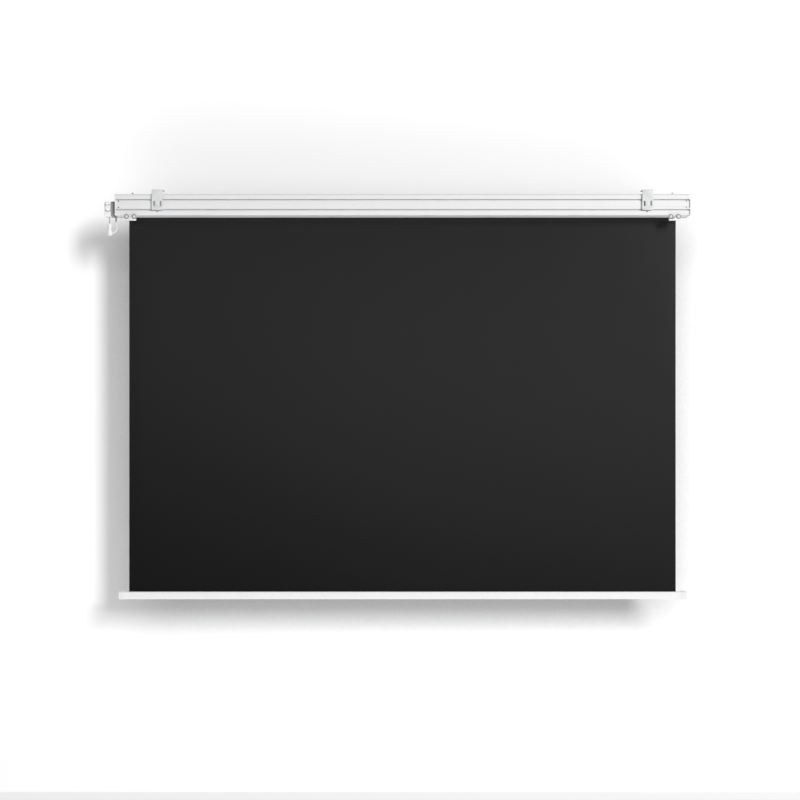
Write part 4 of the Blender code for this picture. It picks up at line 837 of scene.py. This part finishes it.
def make_screws():
    """Screws in the case's back and top, in the end caps and in the bar's caps."""
    for word, side in SIDES.items():
        for level in ("upper", "lower"):
            cross_screw(f"back_screw_{word}_{level}", f"rear_screw_{word}_{level}", BACK, *SMALL_SCREW)
        cross_screw(f"pan_screw_{word}", f"top_screw_{word}", UP, *TOP_SCREW)
        for number in (1, 2, 3):
            name, node = (f"{start}_screw_{word}_{number}" for start in ("cap", "end"))
            cross_screw(name, node, (side, 0, 0), *SMALL_SCREW)
        cross_screw(f"bar_screw_{word}", f"bar_cap_screw_{word}", (side, 0, 0), *SMALL_SCREW)


# Motor head

def head_depth(across, up, middle, half_width, half_height):
    """How far the head's rounded face lies behind its flat: a quarter circle near each edge,
    R - sqrt(R^2 - s^2), with s the way past the flat."""
    depth = np.zeros_like(across)
    for way, reach, radius in (
        (np.abs(across - middle[0]), half_width, HEAD_EDGE),
        (np.abs(up - middle[1]), half_height, HEAD_CORNER_R),
    ):
        past = np.clip(way - (reach - radius), 0, radius)
        depth += radius - np.sqrt(radius**2 - past**2)
    return depth


def make_motor_head():
    """The head as rings from the middle of its raised panel, down into the trench round it, out
    over its rounded back, round its sides and in to the middle of its front. The panel falls back
    by PANEL_FALL * (1 - h / PANEL_SLOPE)^2 at the height h over its foot."""
    low, high, (x, _, z) = box_of("motor_head")
    middle = np.array([x, z])
    half_width, half_height = (high.x - low.x) / 2, (high.z - low.z) / 2
    back = low.y + PANEL_RISE
    left, right = low.x + PANEL_SIDES[0], high.x - PANEL_SIDES[1]
    foot, top = high.z - PANEL_ENDS[0], high.z - PANEL_ENDS[1]
    panel_middle = ((left + right) / 2, (foot + top) / 2)
    panel = round_box(right - left, top - foot, PANEL_CORNER_R, panel_middle, 10, 14)
    rim = round_box(2 * half_width, 2 * half_height, HEAD_EDGE, middle, 10, 14)
    reach = (panel - panel_middle) / (np.array([right - left, top - foot]) / 2)
    bank = panel + reach * np.where(reach < 0, TRENCH_BEFORE, TRENCH_PAST)

    def ring(outline, place):
        return np.column_stack([outline[:, 0], place, outline[:, 1]])

    def lie(outline):
        return head_depth(outline[:, 0], outline[:, 1], middle, half_width, half_height)

    def face(outline):
        past = np.clip(1 - (outline[:, 1] - foot) / PANEL_SLOPE, 0, 1)
        return low.y + PANEL_FALL * past**2

    inner = moved_in(panel, PANEL_EDGE)
    insides = [panel_middle + (inner - panel_middle) * part for part in np.linspace(0, 1, 12)[:-1]]
    rings = [ring(outline, face(outline)) for outline in insides]
    turn = np.linspace(0, pi / 2, 8)
    for inset, drop in zip(PANEL_EDGE * (1 - np.sin(turn)), PANEL_EDGE * (1 - np.cos(turn))):
        outline = moved_in(panel, inset)
        rings.append(ring(outline, face(outline) + drop))
    rings += [ring(outline, back + lie(outline) + TRENCH_DEPTH) for outline in (panel, bank)]
    turn = np.linspace(0, pi / 2, 16)
    backs = [bank + (rim - bank) * step for step in np.sin(turn)]
    rings += [ring(outline, back + lie(outline)) for outline in backs]
    fronts = [middle + (rim - middle) * step for step in np.cos(turn)]
    rings += [ring(outline, high.y - lie(outline)) for outline in fronts]
    head = piece_of("motor_head_body", ring_skin(rings), 50)
    tools = []
    for word in ("outer", "inner"):
        x, _, z = box_of(f"limit_adjuster_{word}")[2]
        tools.append(plug_tool((x, low.y, z), BACK, ADJUSTER_R + GAP, ADJUSTER_DEPTH))
    tools.append(plug_tool((middle[0], low.y, panel_middle[1] - SPOT_DROP), BACK, *SPOT, 32))
    stands_for(carved(head, tools, 50), "motor_head")


def make_adjusters():
    """The limit adjusters with their hexagon sockets."""
    for word in ("outer", "inner"):
        stands_for(refined(f"limit_adjuster_{word}", ADJUSTER_EDGE), f"limit_adjuster_{word}")


def make_flange():
    """The grey block between the case and the head: two rims with a neck between, bored for the motor."""
    low, high, (_, y, z) = box_of("motor_flange")
    outline = round_box(high.y - low.y, high.z - low.z, FLANGE_CORNER_R, (y, z), 12, 4)
    neck_end = high.x - FLANGE_RIM
    block = rounded_run(low.x, neck_end - FLANGE_GROOVE, FLANGE_EDGE, FLANGE_EDGE, 5)
    rim = rounded_run(neck_end, high.x, FLANGE_RIM / 3, FLANGE_RIM / 3, 4)
    neck = [(neck_end - FLANGE_GROOVE, FLANGE_GROOVE_DEPTH), (neck_end, FLANGE_GROOVE_DEPTH)]
    flange = piece_of("motor_mount", section([outline], [*block, *neck, *rim]))
    mouth = (low.x, ROLLER_Y, ROLLER_Z)
    tool = plug_tool(mouth, (-1, 0, 0), MOTOR_R + GAP, FLANGE_BORE_DEPTH, 64)
    stands_for(carved(flange, [tool]), "motor_flange")


# Leads

def smooth_route(route, steps):
    """Catmull-Rom curve through the route: half of
    2b + (c - a)t + (2a - 5b + 4c - d)t^2 + (3b - a - 3c + d)t^3."""
    route = np.asarray(route, float)
    route = np.concatenate([[2 * route[0] - route[1]], route, [2 * route[-1] - route[-2]]])
    a, b, c, d = (route[i : len(route) - 3 + i, None] for i in range(4))
    t = np.linspace(0, 1, steps, endpoint=False)[None, :, None]
    curve = b + 0.5 * t * (c - a + t * (2 * a - 5 * b + 4 * c - d + t * (3 * (b - c) + d - a)))
    return np.concatenate([curve.reshape(-1, route.shape[1]), route[-2:-1]])


def make_leads():
    """The white loop of lead, with the connector and the thin lead on it."""
    low, _, (x, _, _) = box_of("lead_gland")
    start = (x, ROLLER_Y, low.z - GAP)
    route = [(x + across * MM, ROLLER_Y, start[2] + up * MM) for across, up in LOOP_ROUTE]
    path = smooth_route(route, 6)
    lead = piece_of("white_loop_lead", ring_skin(tube_rings(path, LEAD_D / 2)), 50)
    stands_for(lead, "loop_lead")
    pieces = [make_gland(), make_socket(path), make_connector_plug(), make_head_lead()]


def make_gland():
    """A strain relief with five ribs that thins towards its mouth, p from 0 to 1 down its length:
    radius = r0 * (1 - GLAND_TAPER p) - GLAND_RIB * (0.5 - 0.5 cos(10 pi p))."""
    low, high, (x, _, _) = box_of("lead_gland")
    length = high.z - low.z
    part = np.linspace(0, 1, 61)
    radius = (high.x - low.x) / 2 * (1 - GLAND_TAPER * part)
    radius -= GLAND_RIB * (0.5 - 0.5 * np.cos(10 * pi * part))
    profile = np.concatenate([[(0, 0)], np.column_stack([radius, -part * length]), [(0, -length)]])
    return turned_piece("strain_relief", "lead_gland", profile, (x, ROLLER_Y, high.z))


def make_head_lead():
    """The thin lead from the head to the connector, with a slight bow."""
    low, high, (x, _, _) = box_of("head_lead")
    part = np.linspace(0, 1, 25)
    across = x - THIN_LEAD_BOW * np.sin(pi * part)
    path = np.column_stack([across, np.full(25, ROLLER_Y), high.z + (low.z - high.z) * part])
    rings = tube_rings(path, (high.x - low.x) / 2 - THIN_LEAD_CLEAR, 20)
    return stands_for(piece_of("thin_lead", ring_skin(rings), 50), "head_lead")


def make_connector_plug():
    """The connector's upper half: a shouldered barrel with three shallow grip rings."""
    low, high, (x, _, _) = box_of("connector_plug")
    length = high.z - low.z
    points = [(radius * CONNECTOR_R, -drop * CONNECTOR_R) for radius, drop in PLUG_NECK]
    for ring in GRIP_RINGS:
        points += [(CONNECTOR_R * share, -length * (ring + further)) for further, share in GRIP_GROOVE]
    points += [(CONNECTOR_R, -length), (0, -length)]
    profile = eased(points, CONNECTOR_EASE)
    return turned_piece("connector_upper", "connector_plug", profile, (x, ROLLER_Y, high.z))


def make_socket(path):
    """The connector's lower half: a barrel, a ridged collar and the side boot of the loop lead.
    Round the collar the radius is multiplied by 1 - RIDGE_DEPTH * (0.5 + 0.5 cos 20t)."""
    low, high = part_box("connector_socket")
    axis = np.array([box_of("connector_plug")[2][0], ROLLER_Y])
    length = high.z - low.z
    top = COLLAR_LENGTH - length
    points = [(0, 0), (CONNECTOR_R, 0), (CONNECTOR_R, top + COLLAR_SHOULDER), (COLLAR_R, top)]
    points += [(COLLAR_R, -length * share) for share in (0.6, 0.7, 0.8, 0.9)]
    points += [(COLLAR_R * 0.8, -length), (0, -length)]
    profile = eased(points, COLLAR_EASE, 4)
    rings = turned(profile, (*axis, high.z), UP, 80)
    turn = np.linspace(0, 2 * pi, 80, endpoint=False)
    radius, height = profile.T
    on_collar = (height < top) & (height > -length * 0.92) & (radius > CONNECTOR_R)
    ridge = 1 - RIDGE_DEPTH * (0.5 + 0.5 * np.cos(20 * turn)) * on_collar[:, None]
    rings[..., :2] = (rings[..., :2] - axis) * ridge[..., None] + axis
    heading = unit(path[-1] - path[-2])
    mouth = path[-1] + heading * GAP
    run = (axis[0] - mouth[0]) / heading[0] * 0.8
    part = np.linspace(0, 1, 31)
    radius = BOOT_R - BOOT_RIB * (0.5 - 0.5 * np.cos(6 * pi * part))
    boot = np.concatenate([[(0, 0)], np.column_stack([radius, part * run]), [(0, run)]])
    shells = ring_skin(rings) + ring_skin(turned(boot, mouth, heading, 40))
    return stands_for(piece_of("connector_lower", shells), "connector_socket")


# Bottom bar

def bar_outline():
    """The bar in section: round corners, two grooves a side, BAR_GROOVE_DEPTH * sqrt(1 - s^2) deep,
    and the keeper's keyhole."""
    half, radius, nick = BAR_DEPTH / 2, BAR_PROFILE_R, BAR_GROOVE_DEPTH
    flat, low = half - radius, radius - BAR_HEIGHT
    mouth, room = KEEPER_SLOT / 2, KEEPER_R + KEEPER_CLEAR
    part = np.linspace(-1, 1, 9)
    side = half - nick * np.sqrt(1 - part**2)
    left = [np.column_stack([-side, -drop - part * nick]) for drop in BAR_GROOVES]
    right = [np.column_stack([side, -drop + part * nick]) for drop in reversed(BAR_GROOVES)]
    swing = degrees(acos(mouth / room))
    outline = [[(-mouth, 0)], arc((-flat, -radius), radius, 90, 180), *left]
    outline += [arc((-flat, low), radius, 180, 270), arc((flat, low), radius, 270, 360), *right]
    outline += [arc((flat, -radius), radius, 0, 90), [(mouth, 0)]]
    return np.concatenate([*outline, arc((0, -KEEPER_DROP), room, swing, -180 - swing, 40)])


def make_bar():
    """The weighted bottom bar, open inside for the keeper and the weight."""
    low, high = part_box("bottom_bar")
    shift = np.array([FABRIC_Y, high.z])
    hole = circle(ROD_R + ROD_CLEAR, 40, (0, ROD_RISE - BAR_HEIGHT))
    parts = section([bar_outline() + shift, hole + shift], [(low.x, 0), (high.x, 0)])
    bar = stands_for(piece_of("bar_profile", parts), "bottom_bar")
    # the bar takes a lighter copy of the white coat: painted light from the floor
    bar.data.materials[0] = FINISHES["lit_bar_coat"]


def make_bar_caps():
    """End caps: rings from the middle of the outer face, over the sleeve and back inside it.
    The bump on top lifts the rings to BUMP_RISE - BUMP_R + sqrt(BUMP_R^2 - dx^2)."""
    bar_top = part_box("bottom_bar")[1].z
    skin = GAP + BAR_CAP_WALL
    middle = np.array([FABRIC_Y, bar_top - BAR_HEIGHT / 2])
    size = np.array([BAR_DEPTH, BAR_HEIGHT])
    outer = round_box(*(size + 2 * skin), BAR_CORNER_R + skin, middle, 10, 24)
    hollow = round_box(*(size + 2 * GAP), BAR_CORNER_R + GAP, middle, 10, 24)
    point = np.tile(middle, (len(outer), 1))
    top = middle[1] + size[1] / 2 + skin
    for word, side in SIDES.items():
        low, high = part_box(f"bar_cap_{word}")
        mouth, face = sorted((low.x, high.x), key=abs)
        turn_end = face - side * BAR_CAP_TURN
        stations = rounded_run(face, turn_end, BAR_CAP_PLATE / 3, 0, 6)[:-1]
        runs = [*np.linspace(turn_end, mouth, 75), mouth]
        rings = [laid(point, face)]
        for place, inset in [*stations, *[(run, 0) for run in runs]]:
            ring = laid(moved_in(outer, inset), place)
            past = BUMP_R**2 - (place - face + side * BUMP_INSET) ** 2
            lift = BUMP_RISE - BUMP_R + sqrt(max(past, 0))
            margin = BAR_DEPTH / 2 - BUMP_MARGIN - np.abs(ring[:, 1] - FABRIC_Y)
            fade = np.clip(margin / BUMP_FADE, 0, 1)
            ring[:, 2] += np.where(ring[:, 2] > top - 0.05 * MM, max(lift, 0) * fade, 0)
            rings.append(ring)
        floor = face - side * BAR_CAP_PLATE
        rings += [laid(hollow, mouth), laid(hollow, floor), laid(point, floor)]
        cap = piece_of(f"bar_end_{word}", ring_skin(rings))
        tools = screw_tools((face, FABRIC_Y, bar_top - KEEPER_DROP), side, BAR_CAP_BORE)
        stands_for(carved(cap, tools), f"bar_cap_{word}")


# Brackets and clips

def make_brackets_and_clips():
    """Brackets, jaws, clamp screws, lower clips and their screws, with rounded edges."""
    for word in SIDES:
        for node, width in FINE_EDGES.items():
            stands_for(refined(f"{node}_{word}", width), f"{node}_{word}")
        for number in (1, 2):
            make_clip_screw(f"clip_screw_{word}_{number}")


def make_clip_screw(node):
    """A pale knob standing in a grey washer whose dark grey is partly its own and partly painted shade round
    the knob: an elliptic crown, a recess round its foot, a rolled rim.
    """
    low, high, (x, _, z) = box_of(node)
    place = (x, low.y + KNOB_RISE, z - KNOB_DROP)
    washer = (high.x - low.x) / 2
    end = low.y + KNOB_RISE - high.y
    turn = np.linspace(0, pi / 2, 14)
    crown = np.column_stack([KNOB_R * np.sin(turn), KNOB_RISE * (0.45 + 0.55 * np.cos(turn))])
    foot = [(KNOB_R, 0.25 * WASHER), (KNOB_R + WASHER_FOOT, 0.1 * WASHER)]
    rim = [(washer - inwards, share * WASHER) for inwards, share in WASHER_RIM]
    shank = [(KNOB_SHANK_R, 0), (KNOB_SHANK_R, end), (0, end)]
    profile = np.concatenate([crown, eased([*foot, *rim], 0.2 * MM), shank])
    knob = turned_piece(f"{node}_knob", node, profile, place, BACK, 64, 40)
    knob.data.materials[0] = FINISHES["grey_coat"]
    across, _, up = (face_vectors(knob.data, "center") - place).T
    # the washer ring's dark grey: partly its own, partly painted shade round the knob
    second_finish(knob.data, FINISHES["washer"], np.hypot(across, up) > KNOB_R + 0.02 * MM)


# Fabric

def make_fabric():
    """The hanging fabric as one thin closed sheet, p from 0 to 1 down its length and e from 0 to 1
    over its outer CURL_WIDTH: y = middle +- half the thickness
    + (FABRIC_WAVE * sin(7x + 1) + FABRIC_CURL * e^2) * sin(pi p)."""
    low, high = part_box("screen_fabric")
    width, length = high.x - low.x, high.z - low.z
    columns, rows = 120, 90
    across = np.linspace(low.x - FABRIC_SPREAD, high.x + FABRIC_SPREAD, columns)
    x, z = np.meshgrid(across, np.linspace(high.z, low.z, rows))
    part = (high.z - z) / length
    hang = np.sin(pi * part)
    edge = np.clip((np.abs(x) - (high.x - CURL_WIDTH)) / CURL_WIDTH, 0, 1)
    y = FABRIC_Y + FABRIC_WAVE * np.sin(7 * x + 1) * hang + FABRIC_CURL * edge**2 * hang
    back, front = (np.stack([x, y + way * FABRIC_THICK / 2, z], axis=-1) for way in (-1, 1))
    points = np.concatenate([back, front[:, ::-1]], axis=1).reshape(-1, 3)
    around = 2 * columns
    column = np.arange(columns - 1)
    end = np.column_stack([column, column + 1, around - 2 - column, around - 1 - column])
    faces = np.concatenate([grid_faces(rows, around), end, end + (rows - 1) * around])
    sheet = piece_of("hanging_fabric", [(points, faces)], 60)
    mesh = sheet.data
    corner = np.zeros(len(mesh.loops), int)
    mesh.loops.foreach_get("vertex_index", corner)
    uv = np.column_stack([points[corner, 0] - low.x, high.z - points[corner, 2]])
    layer = mesh.uv_layers.new(name="cloth")
    layer.data.foreach_set("uv", uv.astype(np.float32).ravel())
    stands_for(sheet, "screen_fabric")
    second_finish(mesh, make_picture_side(width, length), face_vectors(mesh, "normal")[:, 1] > 0.5)
    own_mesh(sheet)


# Stage and light

def make_stage():
    """A white backdrop over a slightly darker skirting, both well behind the screen."""
    for name, foot, top in (("backdrop", BACKDROP_FOOT, STAGE_TOP), ("skirting", STAGE_LOW, BACKDROP_FOOT)):
        mesh = bpy.data.meshes.new(name)
        corners = ((-1, foot), (1, foot), (1, top), (-1, top))
        mesh.from_pydata([(side * STAGE_REACH, BACKDROP_Y, z) for side, z in corners], [], [(0, 1, 2, 3)])
        plane = bpy.data.objects.new(name, mesh)
        bpy.context.scene.collection.objects.link(plane)
        mesh.materials.append(make_stage_finish(name, STAGE_WHITES[name]))


def make_stage_finish(name, white):
    """Diffuse white with a little glow and some shade close behind things. Only the camera and
    reflections see it, and only from the front."""
    material = bpy.data.materials.new(name)
    material.use_nodes = True
    tree = material.node_tree
    tree.nodes.clear()
    calc = partial(math_node, tree)
    way = fed_in_order(tree, "CombineXYZ", *SHADE_WAY)
    near = new_node(tree, "AmbientOcclusion", Distance=SHADE_REACH, Normal=way).outputs["AO"]
    paint = fed_in_order(tree, "BsdfDiffuse", calc("MULTIPLY", calc("POWER", near, SHADE_POWER), white))
    light = new_node(tree, "Emission", Strength=STAGE_GLOW).outputs[0]
    path = new_node(tree, "LightPath").outputs
    behind = new_node(tree, "NewGeometry").outputs["Backfacing"]
    seen = calc("MAXIMUM", path["Is Camera Ray"], path["Is Glossy Ray"], path["Is Transmission Ray"])
    seen = calc("MULTIPLY", seen, calc("SUBTRACT", 1.0, behind))
    clear = fed_in_order(tree, "BsdfTransparent")
    both = fed_in_order(tree, "AddShader", paint, light)
    new_node(tree, "OutputMaterial", Surface=fed_in_order(tree, "MixShader", seen, clear, both))
    return material


def make_world():
    """Light from all round, most of it off the white floor. The camera sees white; reflections
    see white behind the screen and a dim room with one broad glow in front of it."""
    world = bpy.data.worlds.new("studio")
    bpy.context.scene.world = world
    world.use_nodes = True
    tree = world.node_tree
    calc = partial(math_node, tree)
    path = new_node(tree, "LightPath").outputs
    way = new_node(tree, "SeparateXYZ", Vector=new_node(tree, "TexCoord").outputs["Generated"]).outputs
    behind = calc("GREATER_THAN", way["Y"], 0.0)
    glossy = path["Is Glossy Ray"]
    mirrored = calc("MULTIPLY", glossy, behind)
    white = calc("MAXIMUM", path["Is Camera Ray"], path["Is Transmission Ray"], mirrored)
    dim = calc("MULTIPLY", glossy, calc("SUBTRACT", 1.0, behind))
    even = calc("SUBTRACT", 1.0, calc("MAXIMUM", white, dim))
    sky = calc("MULTIPLY", even, sky_level(calc, way))
    sheen = calc("MULTIPLY", dim, sheen_level(calc, way))
    background = tree.nodes["Background"].inputs
    feed(tree, background["Strength"], calc("ADD", sky, sheen, white))
    feed(tree, background["Color"], (1, 1, 1, 1))


def sky_level(calc, way):
    """Level by a ray's way (x, y, h): SKY_HIGH, light off the floor in front,
    SKY_LOW * (half of 1 - h)^SKY_FALL * (1 - y)^3, and SKY_BEHIND * max(y, 0) * (1 + h) from behind."""
    depth, height = way["Y"], way["Z"]
    lower = calc("POWER", calc("MULTIPLY", calc("SUBTRACT", 1.0, height), 0.5), SKY_FALL)
    front = calc("POWER", calc("SUBTRACT", 1.0, depth), 3.0)
    floor = calc("MULTIPLY", lower, front, SKY_LOW)
    behind = calc("MULTIPLY", calc("MAXIMUM", depth, 0.0), calc("ADD", height, 1.0), SKY_BEHIND)
    return calc("ADD", floor, behind, SKY_HIGH)


def sheen_level(calc, way):
    """What reflections see in front, a broad slanted glow: with u = x / |y| and v = z / |y| of the
    ray's way, SHEEN_LEVEL plus the weighted u, v, u v, u u and v v, from SHEEN_LEAST to SHEEN_MOST."""
    depth = calc("MAXIMUM", calc("ABSOLUTE", way["Y"]), 0.01)
    u, v = (calc("DIVIDE", way[axis], depth) for axis in ("X", "Z"))
    terms = (u, v, calc("MULTIPLY", u, v), calc("MULTIPLY", u, u), calc("MULTIPLY", v, v))
    weighted = [calc("MULTIPLY", term, weight) for term, weight in zip(terms, SHEEN_WEIGHTS)]
    level = calc("ADD", SHEEN_LEVEL, *weighted)
    return calc("MINIMUM", calc("MAXIMUM", level, SHEEN_LEAST), SHEEN_MOST)


def make_key_light():
    """One large soft lamp, high on the camera's right."""
    data = bpy.data.lights.new("key_light", "AREA")
    data.shape = "RECTANGLE"
    data.size, data.size_y = KEY_SIZE
    data.energy = KEY_POWER
    lamp = bpy.data.objects.new("key_light", data)
    bpy.context.scene.collection.objects.link(lamp)
    way = Vector(KEY_WAY).normalized()
    lamp.location = Vector((0, 0, CAMERA_PLACE[2])) + way * KEY_DISTANCE
    lamp.rotation_euler = way.to_track_quat("Z", "Y").to_euler()


def main():
    """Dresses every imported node, builds the fine pieces, and sets the stage."""
    make_camera()
    make_leads()
    for part in frame["record"]["subparts"]:
        node = frame["nodes"][part["node"]]
        if not node.hide_render:
            node.data.materials.clear()
            node.data.materials.append(FINISHES[part["material_slot"]])
    make_case()
    make_end_caps()
    make_screws()
    make_motor_head()
    make_adjusters()
    make_flange()
    make_bar()
    make_bar_caps()
    make_brackets_and_clips()
    make_fabric()
    make_stage()
    make_world()
    make_key_light()
    bpy.context.scene.view_settings.view_transform = "Standard"


WALL_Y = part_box("case_shell")[0].y
FRONT_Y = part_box("case_shell")[1].y
CASE_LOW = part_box("case_shell")[0].z
CASE_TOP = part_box("case_shell")[1].z
ROLLER_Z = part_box("screen_fabric")[1].z
FABRIC_Y = (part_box("screen_fabric")[0].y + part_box("screen_fabric")[1].y) / 2
GRAIN = make_grain_group()
WEAVE = make_weave_group()
FINISHES = make_finishes()
main()
